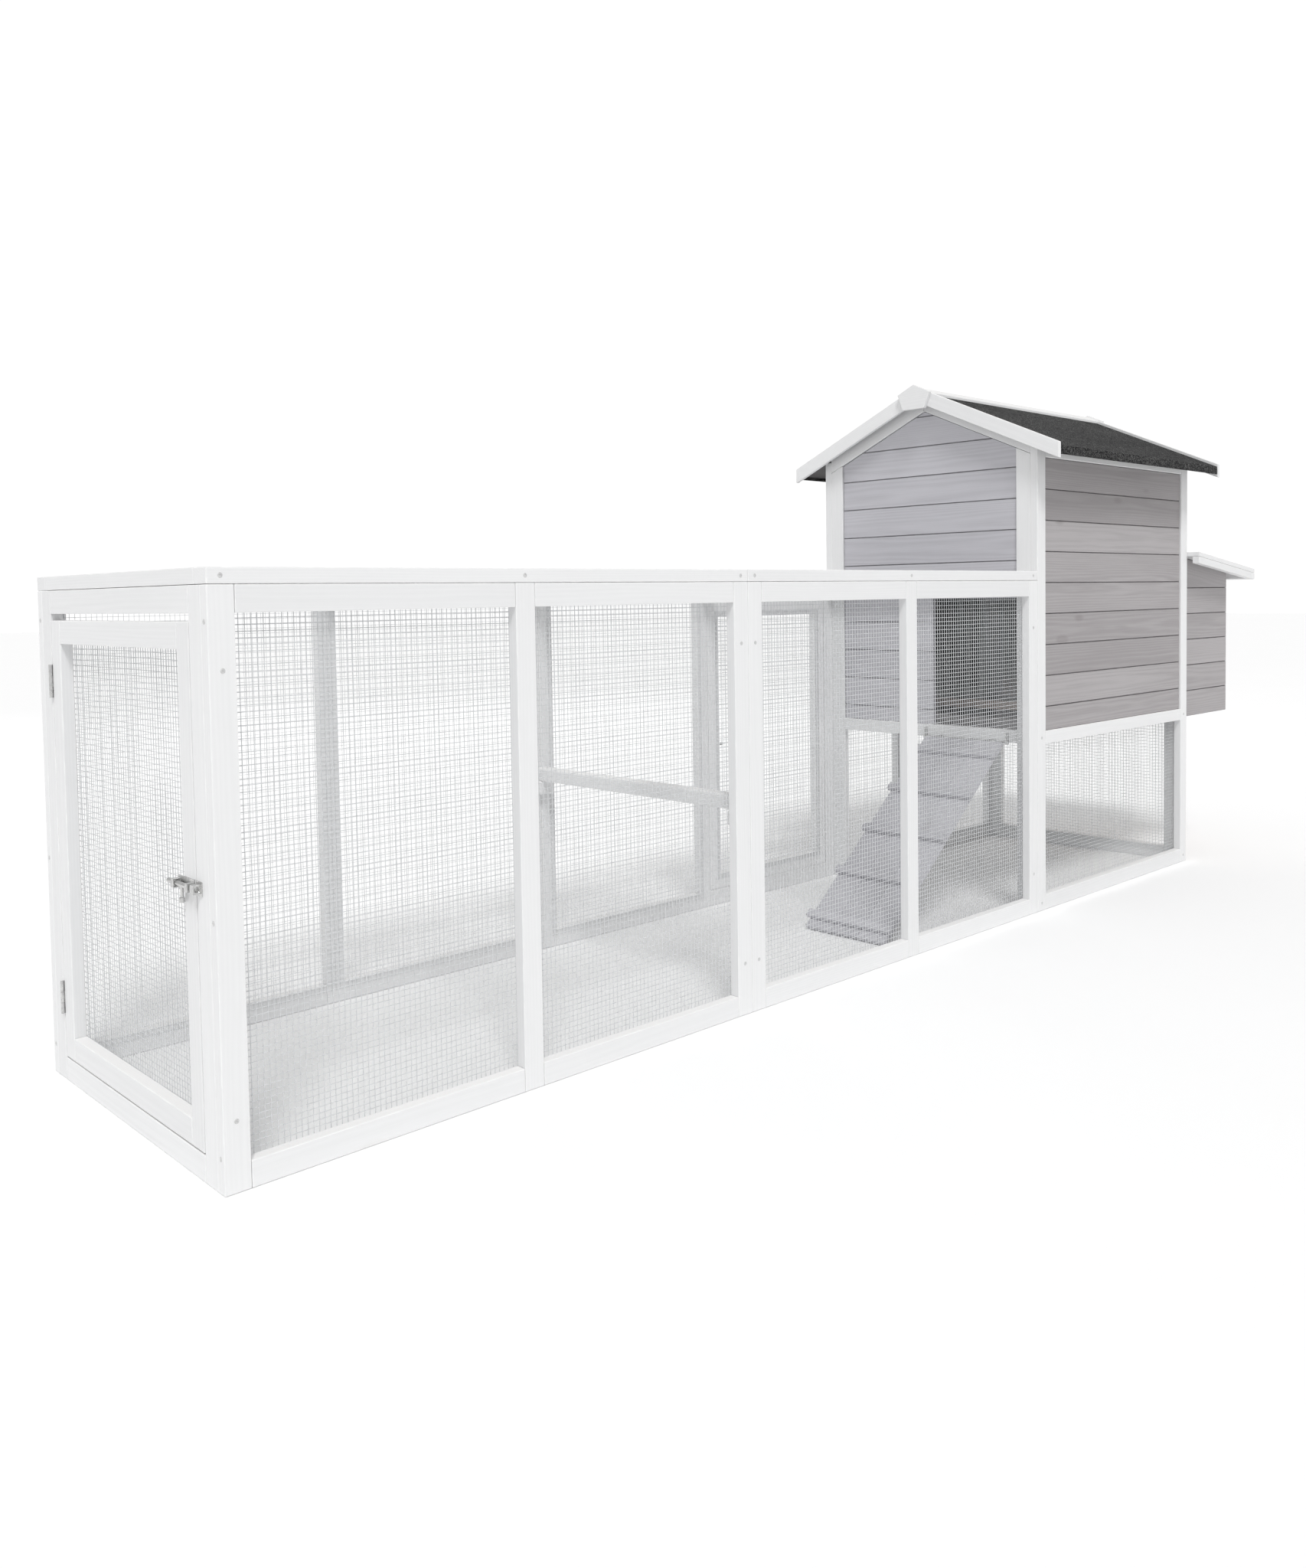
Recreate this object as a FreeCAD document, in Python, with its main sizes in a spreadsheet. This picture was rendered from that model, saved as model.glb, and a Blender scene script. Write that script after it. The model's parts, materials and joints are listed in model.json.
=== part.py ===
"""Chicken coop with a two-module wire run, a raised gabled house and a nest box.

X runs along the coop from the run's end door to the nest box, Y from the front
to the back, Z up. The origin is on the ground, midway between the outermost
points in X and Y. Every place below is measured from the run's front corner.
"""
import FreeCAD
import Part
import Sketcher
import math
import os
import re

# Driving sizes in millimetres (angles in degrees, slopes as rise over run).
SIZES = {
    # run
    "module_length": 1155,
    "run_width": 720,
    "panel_height": 900,
    "cap_height": 25,
    "batten_wide": 42,
    "batten_thick": 22,
    "joint_gap": 0.8,
    "door_gap": 3,
    "door_head_gap": 12,
    "mesh_thick": 0.3,
    "mesh_lap": 15,
    "perch_size": 32,
    "perch_height": 424,
    # house
    "house_length": 920,
    "floor_top": 491,
    "floor_rail": 35,
    "wall_top": 1275,
    "plank_thick": 12,
    "plank_recess": 6,
    "plank_pitch": 84.5,
    "front_first_plank": 66,
    "gable_first_plank": 43,
    "floor_thick": 12,
    "joist_wide": 35,
    "back_stile_place": 332,
    "roost_wide": 35,
    "roost_thick": 25,
    "roost_place": 233,
    "roost_lift": 19,
    # pop hole, its sliding door and the ramp
    "pop_hole_wide": 270,
    "pop_hole_height": 362,
    "pop_door_thick": 9,
    "pop_door_lap": 10,
    "runner_height": 17,
    "runner_wall": 4,
    "slide_gap": 0.6,
    "ramp_wide": 250,
    "ramp_inset": 97,
    "ramp_angle": 39.4,
    "ramp_thick": 12,
    "ramp_drop": 33,
    "ramp_rod_stand": 9,
    "cleat_wide": 22,
    "cleat_thick": 12,
    "cleat_over": 8,
    # roof
    "roof_slope": 0.445,
    "eave_over": 80,
    "verge_over": 40,
    "roof_thick": 11,
    "felt_thick": 2.2,
    "felt_fold": 22,
    "barge_height": 42,
    "barge_stand": 9,
    "barge_thick": 12,
    "rake_height": 42,
    "ridge_board": 46,
    "ridge_thick": 8,
    # nest box
    "nest_depth": 350,
    "nest_inset": 20,
    "nest_floor_z": 460,
    "nest_wall_top": 975,
    "nest_plank": 83,
    "nest_opening_top": 872,
    "lid_slope": 0.12,
    "lid_thick": 14,
    "lid_rim": 36,
    "lid_rim_thick": 22,
    "lid_side_over": 58,
    "lid_front_over": 90,
    # ironmongery
    "hinge_height": 60,
    "hinge_leaf": 18,
    "hinge_plate": 1.2,
    "knuckle_radius": 3.2,
    "pin_radius": 1.5,
    "pin_play": 0.08,
    "bolt_radius": 4,
    "bolt_play": 0.4,
    "bolt_stand": 7,
    "bolt_guide": 13,
    "bolt_case": 58,
    "bolt_plate": 1.5,
    "bolt_throw": 20,
    "rod_radius": 3,
    "eye_radius": 6,
    "screw_radius": 4,
    "screw_head": 1,
}

# Places worked out from the driving sizes, as sheet formulas.
PLACES = {
    "house_x": "2 * module_length",
    "house_end": "house_x + house_length",
    "back_y": "run_width - batten_thick",
    "panel_long": "module_length - joint_gap",
    "stile_high": "panel_height",
    "top_rail_z": "panel_height - batten_wide",
    "cap_z": "panel_height + joint_gap",
    "door_low": "batten_wide + door_gap",
    "end_post_y": "batten_thick + batten_wide",
    "end_door_y0": "end_post_y + door_gap",
    "end_door_y1": "run_width - end_post_y - door_gap",
    "end_door_top": "top_rail_z - door_head_gap",
    "back_mid_x": "module_length + panel_long / 2 + batten_wide / 2",
    "run_door_x0": "back_mid_x + door_gap",
    "run_door_x1": "house_x - joint_gap - batten_wide - door_gap",
    "run_door_top": "top_rail_z - door_gap",
    "floor_rail_z": "floor_top - floor_rail",
    "eave_rail_z": "wall_top - batten_wide",
    "deck_z": "floor_top + floor_thick",
    "back_stile_x": "house_x + back_stile_place",
    "house_door_x0": "back_stile_x + batten_wide + door_gap",
    "house_door_x1": "house_end - batten_wide - door_gap",
    "house_door_z0": "floor_top + door_gap",
    "house_door_z1": "eave_rail_z - door_head_gap",
    "ridge_y": "run_width / 2",
    "slope_share": "sqrt(1 + roof_slope * roof_slope)",
    "roof_drop": "roof_thick * slope_share",
    "felt_drop": "felt_thick * slope_share",
    "sketch_back": "eave_over + 30",
    "verge_x0": "house_x - verge_over",
    "verge_x1": "house_end + verge_over",
    "siding_peak": "wall_top - rake_height + ridge_y * roof_slope",
    "siding_shoulder": "wall_top - rake_height + end_post_y * roof_slope",
    "pop_y0": "end_post_y",
    "pop_y1": "pop_y0 + pop_hole_wide",
    "pop_top": "floor_top + pop_hole_height",
    "pop_door_x": "house_x + batten_thick + joint_gap + slide_gap",
    "pop_door_wide": "pop_hole_wide + 2 * pop_door_lap",
    "pop_door_y": "pop_y1 + pop_door_lap + joint_gap",
    "ramp_x": "house_x - ramp_rod_stand",
    "ramp_z": "floor_top - ramp_drop",
    "ramp_bed": "eye_radius - 2",
    "ramp_rise": "ramp_z - ramp_bed * cos(ramp_angle * 1 deg) - 0.5",
    "ramp_long": "ramp_rise / sin(ramp_angle * 1 deg)",
    "nest_x1": "house_end + nest_depth",
    "nest_y0": "nest_inset",
    "nest_y1": "run_width - nest_inset",
    "nest_deck": "nest_floor_z + plank_thick",
    "lid_x0": "house_end + door_gap",
    "lid_x1": "nest_x1 + lid_front_over",
    "lid_y0": "nest_inset - lid_side_over",
    "lid_y1": "run_width - nest_inset + lid_side_over",
    "hinge_axis": "knuckle_radius + 0.3",
    "origin_x": "(lid_x1 - bolt_guide) / 2",
    "origin_y": "run_width / 2",
}

WORD = re.compile(r"[a-z][a-z_0-9]*")
PLANES = {"YZ": "YZ_Plane", "XZ": "XZ_Plane"}

doc = FreeCAD.newDocument("ChickenCoop")
nodes = {}


def bound(text):
    """Write a size expression in the sheets' own terms."""
    def name_in_sheet(match):
        word = match.group(0)
        if word in SIZES:
            return "Dims." + word
        if word in PLACES:
            return "Places." + word
        return word
    return WORD.sub(name_in_sheet, str(text))


def make_sheet(name, rows):
    """Make a spreadsheet with one named value a row, and fill it."""
    sheet = doc.addObject("Spreadsheet::Sheet", name)
    for row, alias in enumerate(rows, start=1):
        sheet.set(f"A{row}", alias)
        sheet.setAlias(f"B{row}", alias)
    for row, content in enumerate(rows.values(), start=1):
        sheet.set(f"B{row}", "=" + bound(content))
    doc.recompute()
    return sheet


dims = make_sheet("Dims", SIZES)
places = make_sheet("Places", PLACES)


def number(name):
    """Read one named value back from its sheet."""
    found = getattr(dims if name in SIZES else places, name)
    return float(getattr(found, "Value", found))


def place(piece, at):
    """Bind a piece's corner, given from the run's front corner, to the sheets."""
    shift = ("origin_x", "origin_y", "0")
    for axis, where, origin in zip("xyz", at, shift):
        piece.setExpression(f"Placement.Base.{axis}", bound(f"{where} - {origin}"))


def board(label, at, size):
    """Make a square-cut board from its low corner and its three sizes."""
    piece = doc.addObject("Part::Box", "Board")
    piece.Label = label
    for side, length in zip(("Length", "Width", "Height"), size):
        piece.setExpression(side, bound(length))
    place(piece, at)
    return piece


def cylinder(label, at, radius, length, axis="z"):
    """Make a round bar that starts at a point and runs along an axis."""
    turns = {
        "x": FreeCAD.Rotation(FreeCAD.Vector(0, 1, 0), 90),
        "y": FreeCAD.Rotation(FreeCAD.Vector(1, 0, 0), -90),
        "z": FreeCAD.Rotation(),
    }
    piece = doc.addObject("Part::Cylinder", "Bar")
    piece.Label = label
    piece.setExpression("Radius", bound(radius))
    piece.setExpression("Height", bound(length))
    piece.Placement = FreeCAD.Placement(FreeCAD.Vector(), turns[axis])
    place(piece, at)
    return piece


def prism(label, plane, points, start, depth):
    """Pad a bevel-cut board from its outline.

    On plane YZ the outline is (y, z), padded along +X from x = start. On plane
    XZ it is (x, z), padded along -Y from y = start.
    """
    body = doc.addObject("PartDesign::Body", "Profile")
    body.Label = label
    sketch = body.newObject("Sketcher::SketchObject", "Outline")
    faces = [face for face in body.Origin.OriginFeatures if face.Role == PLANES[plane]]
    sketch.AttachmentSupport = [(faces[0], "")]
    sketch.MapMode = "FlatFace"
    count = len(points)
    corners = []
    for index in range(count):
        turn = 2 * math.pi * index / count
        corners.append(FreeCAD.Vector(300 + 90 * math.cos(turn), 300 + 90 * math.sin(turn), 0))
    for index in range(count):
        sketch.addGeometry(Part.LineSegment(corners[index], corners[(index + 1) % count]))
    for index in range(count):
        sketch.addConstraint(Sketcher.Constraint("Coincident", index, 2, (index + 1) % count, 1))
    margin = "sketch_back" if plane == "YZ" else "0"
    for index, (across, up) in enumerate(points):
        for kind, rule in (("DistanceX", f"{across} + {margin}"), ("DistanceY", up)):
            key = sketch.addConstraint(Sketcher.Constraint(kind, -1, 1, index, 1, 50.0))
            sketch.setExpression(f"Constraints[{key}]", bound(rule))
    pad = body.newObject("PartDesign::Pad", "Length")
    pad.Profile = sketch
    pad.setExpression("Length", bound(depth))
    place(body, (start, "-sketch_back", "0") if plane == "YZ" else ("0", start, "0"))
    return body


def cut(label, base, tool):
    """Take one piece out of another."""
    piece = doc.addObject("Part::Cut", "Cut")
    piece.Label = label
    piece.Base = base
    piece.Tool = tool
    return piece


def fuse(label, pieces):
    """Join touching pieces into one solid."""
    piece = doc.addObject("Part::MultiFuse", "Fuse")
    piece.Label = label
    piece.Shapes = pieces
    return piece


def trim_to(label, base, tool):
    """Keep the part of a board inside an outline."""
    piece = doc.addObject("Part::Common", "Trim")
    piece.Label = label
    piece.Base = base
    piece.Tool = tool
    return piece


def node(label, pieces):
    """Group the solids of one sub-part under its name."""
    group = doc.addObject("Part::Compound", "Node")
    group.Label = label
    group.Links = pieces
    nodes[label] = group
    return group


def back_mirror(across):
    """Reflect a Y rule from the front half to the back half."""
    return f"run_width - ({across})"


# ---------------------------------------------------------------- panels

def rails(label, x0, x1, y, levels):
    """Lay rails along X between two stiles, one for each (z, height)."""
    made = []
    for z, height in levels:
        size = (f"{x1} - ({x0}) - 2 * joint_gap", "batten_thick", height)
        made.append(board(f"{label} rail", (f"{x0} + joint_gap", y, z), size))
    return made


def stiles(label, xs, y, z0, z1):
    """Stand stiles in a wall that runs along X."""
    size = ("batten_wide", "batten_thick", f"{z1} - ({z0})")
    return [board(f"{label} stile", (x, y, z0), size) for x in xs]


def run_wall(label, x0, y):
    """Frame one run module's long wall: three stiles, with rails between them."""
    far = f"{x0} + panel_long - batten_wide"
    middle = f"{x0} + (panel_long - batten_wide) / 2"
    pieces = stiles(label, (x0, middle, far), y, "0", "stile_high")
    levels = (("0", "batten_wide"), ("top_rail_z", "batten_wide"))
    pieces += rails(label, f"{x0} + batten_wide", middle, y, levels)
    pieces += rails(label, f"{middle} + batten_wide", far, y, levels)
    return node(label, pieces)


def wall_mesh(label, x0, x1, y, z0, z1):
    """Hang a flat mesh sheet on a wall that runs along X, lapped onto its frame."""
    size = (f"{x1} - ({x0}) + 2 * mesh_lap", "mesh_thick", f"{z1} - ({z0}) + 2 * mesh_lap")
    return board(label, (f"{x0} - mesh_lap", y, f"{z0} - mesh_lap"), size)


def build_run():
    """Frames, mesh, top caps and perch of the two run modules."""
    for letter, x0 in (("a", "0"), ("b", "module_length")):
        far = f"{x0} + panel_long - batten_wide"
        run_wall(f"run_front_frame_{letter}", x0, "0")
        sheet = wall_mesh("front sheet", f"{x0} + batten_wide", far, "batten_thick",
                          "batten_wide", "top_rail_z")
        node(f"run_front_mesh_{letter}", [sheet])
        run_wall(f"run_back_frame_{letter}", x0, "back_y")
        right = far if letter == "a" else "back_mid_x - batten_wide"
        sheet = wall_mesh("back sheet", f"{x0} + batten_wide", right,
                          "back_y - mesh_thick", "batten_wide", "top_rail_z")
        node(f"run_back_mesh_{letter}", [sheet])
    build_end_frame()
    build_run_top()
    build_run_perch()


def build_end_frame():
    """Frame around the end door, held between the two long walls."""
    size = ("batten_thick", "batten_wide", "panel_height")
    inner = "run_width - 2 * end_post_y - 2 * joint_gap"
    pieces = [
        board("front post", ("0", "batten_thick", "0"), size),
        board("back post", ("0", "run_width - end_post_y", "0"), size),
        board("sill", ("0", "end_post_y + joint_gap", "0"),
              ("batten_thick", inner, "batten_wide")),
        board("head", ("0", "end_post_y + joint_gap", "top_rail_z"),
              ("batten_thick", inner, "batten_wide")),
    ]
    node("run_end_frame", pieces)


def build_run_top():
    """Flat cap frames over both modules, with mesh under them."""
    sheets = []
    for letter, x0 in (("a", "0"), ("b", "module_length")):
        long_size = ("panel_long", "batten_wide", "cap_height")
        cross = ("batten_wide", "run_width - 2 * batten_wide - 2 * joint_gap", "cap_height")
        cross_y = "batten_wide + joint_gap"
        middle = f"{x0} + (panel_long - batten_wide) / 2"
        far = f"{x0} + panel_long - batten_wide"
        pieces = [
            board("front cap", (x0, "0", "cap_z"), long_size),
            board("back cap", (x0, "run_width - batten_wide", "cap_z"), long_size),
            board("near cross cap", (x0, cross_y, "cap_z"), cross),
            board("middle cross cap", (middle, cross_y, "cap_z"), cross),
            board("far cross cap", (far, cross_y, "cap_z"), cross),
        ]
        node(f"run_top_frame_{letter}", pieces)
        at = (f"{x0} + batten_wide - mesh_lap", "batten_wide - mesh_lap", "cap_z - mesh_thick")
        size = ("panel_long - 2 * batten_wide + 2 * mesh_lap",
                "run_width - 2 * batten_wide + 2 * mesh_lap", "mesh_thick")
        sheets.append(board("top sheet", at, size))
    node("run_top_mesh", sheets)


def build_run_perch():
    """Perch across the run where the modules meet, with a block at each end."""
    x = "module_length - joint_gap / 2 - perch_size / 2"
    block = ("perch_size + 16", "batten_thick", "perch_size")
    block_x = "module_length - joint_gap / 2 - perch_size / 2 - 8"
    pieces = [
        board("perch bar", (x, "batten_thick + joint_gap", "perch_height"),
              ("perch_size", "run_width - 2 * batten_thick - 2 * joint_gap", "perch_size")),
        board("front perch block", (block_x, "batten_thick", "perch_height - perch_size"), block),
        board("back perch block",
              (block_x, "back_y - batten_thick", "perch_height - perch_size"), block),
    ]
    node("run_perch", pieces)


# ----------------------------------------------------------------- doors

def door_on_x(label, x0, x1, z0, z1):
    """Frame a door in a wall that runs along X, set in the back wall."""
    pieces = stiles(label, (x0, f"{x1} - batten_wide"), "back_y", z0, z1)
    levels = ((z0, "batten_wide"), (f"{z1} - batten_wide", "batten_wide"))
    pieces += rails(label, f"{x0} + batten_wide", f"{x1} - batten_wide", "back_y", levels)
    return node(label, pieces)


def build_end_door():
    """Mesh door that fills the run's end frame."""
    size = ("batten_thick", "batten_wide", "end_door_top - door_low")
    inner = "end_door_y1 - end_door_y0 - 2 * batten_wide - 2 * joint_gap"
    rail_y = "end_door_y0 + batten_wide + joint_gap"
    rail = ("batten_thick", inner, "batten_wide")
    pieces = [
        board("bolt stile", ("0", "end_door_y0", "door_low"), size),
        board("hinge stile", ("0", "end_door_y1 - batten_wide", "door_low"), size),
        board("bottom rail", ("0", rail_y, "door_low"), rail),
        board("top rail", ("0", rail_y, "end_door_top - batten_wide"), rail),
    ]
    node("end_door_frame", pieces)
    at = ("batten_thick", "end_door_y0 + batten_wide - mesh_lap",
          "door_low + batten_wide - mesh_lap")
    sheet = board("end door sheet", at, (
        "mesh_thick",
        "end_door_y1 - end_door_y0 - 2 * batten_wide + 2 * mesh_lap",
        "end_door_top - door_low - 2 * batten_wide + 2 * mesh_lap"))
    node("end_door_mesh", [sheet])


def build_run_door():
    """Mesh door in the back of the second run module."""
    door_on_x("run_door_frame", "run_door_x0", "run_door_x1", "door_low", "run_door_top")
    sheet = wall_mesh("run door sheet", "run_door_x0 + batten_wide",
                      "run_door_x1 - batten_wide", "back_y - mesh_thick",
                      "door_low + batten_wide", "run_door_top - batten_wide")
    node("run_door_mesh", [sheet])


def build_house_door():
    """Planked cleaning door in the back of the house."""
    door_on_x("house_door_frame", "house_door_x0", "house_door_x1",
              "house_door_z0", "house_door_z1")
    planks = plank_rows("door plank", "house_door_x0 + batten_wide",
                        "house_door_x1 - batten_wide",
                        "run_width - plank_recess - plank_thick",
                        "house_door_z0 + batten_wide", "house_door_z1 - batten_wide",
                        "plank_pitch / 2", "plank_pitch")
    node("house_door_planks", planks)


# ---------------------------------------------------------- ironmongery

HINGES = {
    # name: (axis point, rotation, heights along the axis)
    "end_door": (("0 - hinge_axis", "end_door_y1 + door_gap / 2"), FreeCAD.Rotation()),
    "run_door": (("run_door_x1 + door_gap / 2", "run_width + hinge_axis"),
                 FreeCAD.Rotation(FreeCAD.Vector(0, 0, 1), -90)),
    "house_door": (("house_door_x1 + door_gap / 2", "run_width + hinge_axis"),
                   FreeCAD.Rotation(FreeCAD.Vector(0, 0, 1), -90)),
}
FIXED_SIDE = 1
MOVING_SIDE = -1


def local_board(label, at, size):
    """Make a board in an ironmongery piece's own frame."""
    piece = doc.addObject("Part::Box", "Plate")
    piece.Label = label
    for side, length in zip(("Length", "Width", "Height"), size):
        piece.setExpression(side, bound(length))
    for axis, where in zip("xyz", at):
        piece.setExpression(f"Placement.Base.{axis}", bound(where))
    return piece


def local_bar(label, at, radius, length, turn=None):
    """Make a round bar in an ironmongery piece's own frame."""
    piece = doc.addObject("Part::Cylinder", "Rod")
    piece.Label = label
    piece.setExpression("Radius", bound(radius))
    piece.setExpression("Height", bound(length))
    if turn:
        piece.Placement = FreeCAD.Placement(FreeCAD.Vector(), turn)
    for axis, where in zip("xyz", at):
        piece.setExpression(f"Placement.Base.{axis}", bound(where))
    return piece


def set_down(label, piece, at, rotation):
    """Move a piece made in its own frame to its place on the coop."""
    group = doc.addObject("Part::Compound", "Set")
    group.Label = label
    group.Links = [piece]
    group.Placement = FreeCAD.Placement(FreeCAD.Vector(), rotation)
    place(group, at)
    return group


def hinge_leaf(label, side):
    """One leaf of a butt hinge, its pin axis on the local Z axis.

    The fixed leaf carries the two outer knuckles, the moving leaf the middle one.
    """
    third = "hinge_height / 3"
    segments = (("0", third), (f"2 * {third}", third))
    if side == MOVING_SIDE:
        segments = ((f"{third} + 0.4", f"{third} - 0.8"),)
    inner = "0.3" if side == FIXED_SIDE else "-0.3 - hinge_plate"
    plate = local_board(f"{label} plate", ("hinge_axis", inner, "0"),
                        ("hinge_leaf", "hinge_plate", "hinge_height"))
    pieces = [plate]
    for z, height in segments:
        pieces.append(local_bar(f"{label} knuckle", ("0", "0", z), "knuckle_radius", height))
        pieces.append(local_board(f"{label} arm", ("pin_radius + 0.5", inner, z),
                                  ("hinge_axis - pin_radius - 0.4", "hinge_plate", height)))
    solid = fuse(f"{label} leaf", pieces)
    bore = local_bar(f"{label} bore", ("0", "0", "-1"), "pin_radius + pin_play",
                     "hinge_height + 2")
    return cut(label, solid, bore)


def build_hinges(fixed, pins):
    """Butt hinges of the three side-hung doors and of the nest lid."""
    spans = {
        "end_door": ("door_low", "end_door_top"),
        "run_door": ("door_low", "run_door_top"),
        "house_door": ("house_door_z0", "house_door_z1"),
    }
    for name, ((x, y), turn) in HINGES.items():
        low, high = spans[name]
        moving = []
        for z in (f"{low} + 80", f"{high} - 80 - hinge_height"):
            at = (x, y, z)
            fixed.append(set_down(f"{name} fixed leaf",
                                  hinge_leaf(f"{name} fixed", FIXED_SIDE), at, turn))
            moving.append(set_down(f"{name} moving leaf",
                                   hinge_leaf(f"{name} moving", MOVING_SIDE), at, turn))
            pins.append(cylinder(f"{name} pin", at, "pin_radius", "hinge_height"))
        node(f"{name}_leaves", moving)
    # The lid's hinges lie along Y, with their leaves hanging down the gap.
    lid_turn = FreeCAD.Rotation(FreeCAD.Matrix(0, -1, 0, 0, 0, 0, 1, 0, -1, 0, 0, 0, 0, 0, 0, 1))
    moving = []
    for y in ("nest_y0 + 90", "nest_y1 - 90 - hinge_height"):
        at = ("house_end + door_gap / 2", y, "nest_wall_top + lid_thick + hinge_axis")
        fixed.append(set_down("lid fixed leaf", hinge_leaf("lid fixed", FIXED_SIDE),
                              at, lid_turn))
        moving.append(set_down("lid moving leaf", hinge_leaf("lid moving", MOVING_SIDE),
                               at, lid_turn))
        pins.append(cylinder("lid pin", at, "pin_radius", "hinge_height", "y"))
    node("nest_lid_leaves", moving)


def guide_block(label, x, length):
    """Block that a bolt rod slides through, in the bolt's own frame."""
    block = local_board(f"{label} block", (x, "bolt_plate", "-7"),
                        (length, "bolt_guide - bolt_plate", "14"))
    along_x = FreeCAD.Rotation(FreeCAD.Vector(0, 1, 0), 90)
    bore = local_bar(f"{label} bore", (f"{x} - 1", "bolt_stand", "0"),
                     "bolt_radius + bolt_play", f"{length} + 2", along_x)
    return cut(label, block, bore)


def build_bolt(name, at, turn, keepers):
    """Barrel bolt: a case on the door, its sliding rod and a keeper on the frame.

    In its own frame the rod slides along X, the wood's face is the XZ plane and
    the door's edge is at x = 0. The rod is made drawn back, clear of the keeper.
    """
    along_x = FreeCAD.Rotation(FreeCAD.Vector(0, 1, 0), 90)
    case = fuse("bolt case", [
        local_board("back plate", ("-2 - bolt_case", "0", "-11"),
                    ("bolt_case", "bolt_plate", "22")),
        guide_block("rear guide", "-2 - bolt_case", "8"),
        guide_block("front guide", "-10", "8"),
    ])
    rod = fuse("bolt rod", [
        local_bar("rod", ("-4 - bolt_case - bolt_throw", "bolt_stand", "0"), "bolt_radius",
                  "bolt_case + 3 + bolt_throw", along_x),
        local_bar("knob stem", ("-15 - bolt_throw", "bolt_stand", "0"), "2.5", "24"),
        local_bar("knob", ("-15 - bolt_throw", "bolt_stand", "20"), "4.5", "7"),
    ])
    keeper = fuse("bolt keeper", [
        local_board("keeper plate", ("door_gap + 1", "0", "-11"), ("19", "bolt_plate", "22")),
        guide_block("keeper block", "door_gap + 4", "12"),
    ])
    node(f"{name}_bolt_case", [set_down("bolt case", case, at, turn)])
    node(f"{name}_bolt", [set_down("bolt rod", rod, at, turn)])
    keepers.append(set_down("bolt keeper", keeper, at, turn))


def build_ironmongery():
    """Hinges, bolts, ramp rod and screws."""
    fixed = []
    pins = []
    keepers = []
    build_hinges(fixed, pins)
    end_turn = FreeCAD.Rotation(FreeCAD.Vector(1, -1, 0), 180)
    back_turn = FreeCAD.Rotation(FreeCAD.Vector(0, 1, 0), 180)
    build_bolt("end_door", ("0", "end_door_y0", "panel_height / 2"), end_turn, keepers)
    build_bolt("run_door", ("run_door_x0", "run_width", "panel_height / 2"), back_turn, keepers)
    build_bolt("house_door", ("house_door_x0", "run_width",
                              "(house_door_z0 + house_door_z1) / 2"), back_turn, keepers)
    pins.append(cylinder("ramp rod", ("ramp_x", "ramp_inset - 12", "ramp_z"),
                         "rod_radius", "ramp_wide + 24", "y"))
    for y in ("ramp_inset - 9", "ramp_inset + ramp_wide + 5"):
        plate = board("rod bracket plate", ("ramp_x - eye_radius", y, "ramp_z - eye_radius"),
                      ("eye_radius + ramp_rod_stand", "4", "eye_radius + 25"))
        bore = cylinder("rod bracket bore", ("ramp_x", f"{y} - 1", "ramp_z"),
                        "rod_radius + pin_play", "6", "y")
        fixed.append(cut("rod bracket", plate, bore))
    node("hinge_leaves", fixed)
    node("hinge_pins", pins)
    node("bolt_keepers", keepers)
    build_screws()


def build_screws():
    """Screw heads on the outside faces, at the frame joints."""
    heads = []
    half = "batten_wide / 2"
    for x0 in ("0", "module_length"):
        far = f"{x0} + panel_long - {half}"
        middle = f"{x0} + panel_long / 2"
        for x in (f"{x0} + {half}", middle, far):
            heads.append(cylinder("cap screw", (x, "-screw_head", "cap_z + cap_height / 2"),
                                  "screw_radius", "screw_head", "y"))
        for x in (f"{x0} + {half}", far):
            for z in ("panel_height * 0.12", "panel_height * 0.86"):
                heads.append(cylinder("stile screw", (x, "-screw_head", z),
                                      "screw_radius", "screw_head", "y"))
    for x in (f"house_x + {half}", f"house_end - {half}"):
        for z in (f"wall_top - {half}", "floor_top - floor_rail / 2", half):
            heads.append(cylinder("post screw", (x, "-screw_head", z),
                                  "screw_radius", "screw_head", "y"))
    for y in ("batten_thick / 2", "run_width - batten_thick / 2"):
        for z in ("panel_height * 0.06", "panel_height * 0.45", "panel_height * 0.94"):
            heads.append(cylinder("end screw", ("-screw_head", y, z),
                                  "screw_radius", "screw_head", "x"))
    node("frame_screws", heads)


# ----------------------------------------------------------------- house

def row_levels(bottom, top, first, pitch):
    """List the (z, height) rules of plank rows between two heights."""
    levels = []
    low = number_of(bottom)
    high = number_of(top)
    step = number_of(pitch)
    start = number_of(first)
    count = max(1, math.ceil((high - low - start) / step - 0.15) + 1)
    for index in range(count):
        z = bottom if index == 0 else f"{bottom} + {first} + {index - 1} * {pitch}"
        end = top if index == count - 1 else f"{bottom} + {first} + {index} * {pitch}"
        levels.append((z, f"{end} - ({z}) - joint_gap"))
    return levels


def number_of(rule):
    """Work out a rule's value with a throw-away sheet cell."""
    places.set("D1", "=" + bound(rule))
    places.recompute()
    found = places.get("D1")
    return float(getattr(found, "Value", found))


def plank_rows(label, x0, x1, y, bottom, top, first, pitch):
    """Lay horizontal planks in a wall that runs along X."""
    made = []
    for z, height in row_levels(bottom, top, first, pitch):
        size = (f"{x1} - ({x0}) - 2 * joint_gap", "plank_thick", height)
        made.append(board(label, (f"{x0} + joint_gap", y, z), size))
    return made


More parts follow.
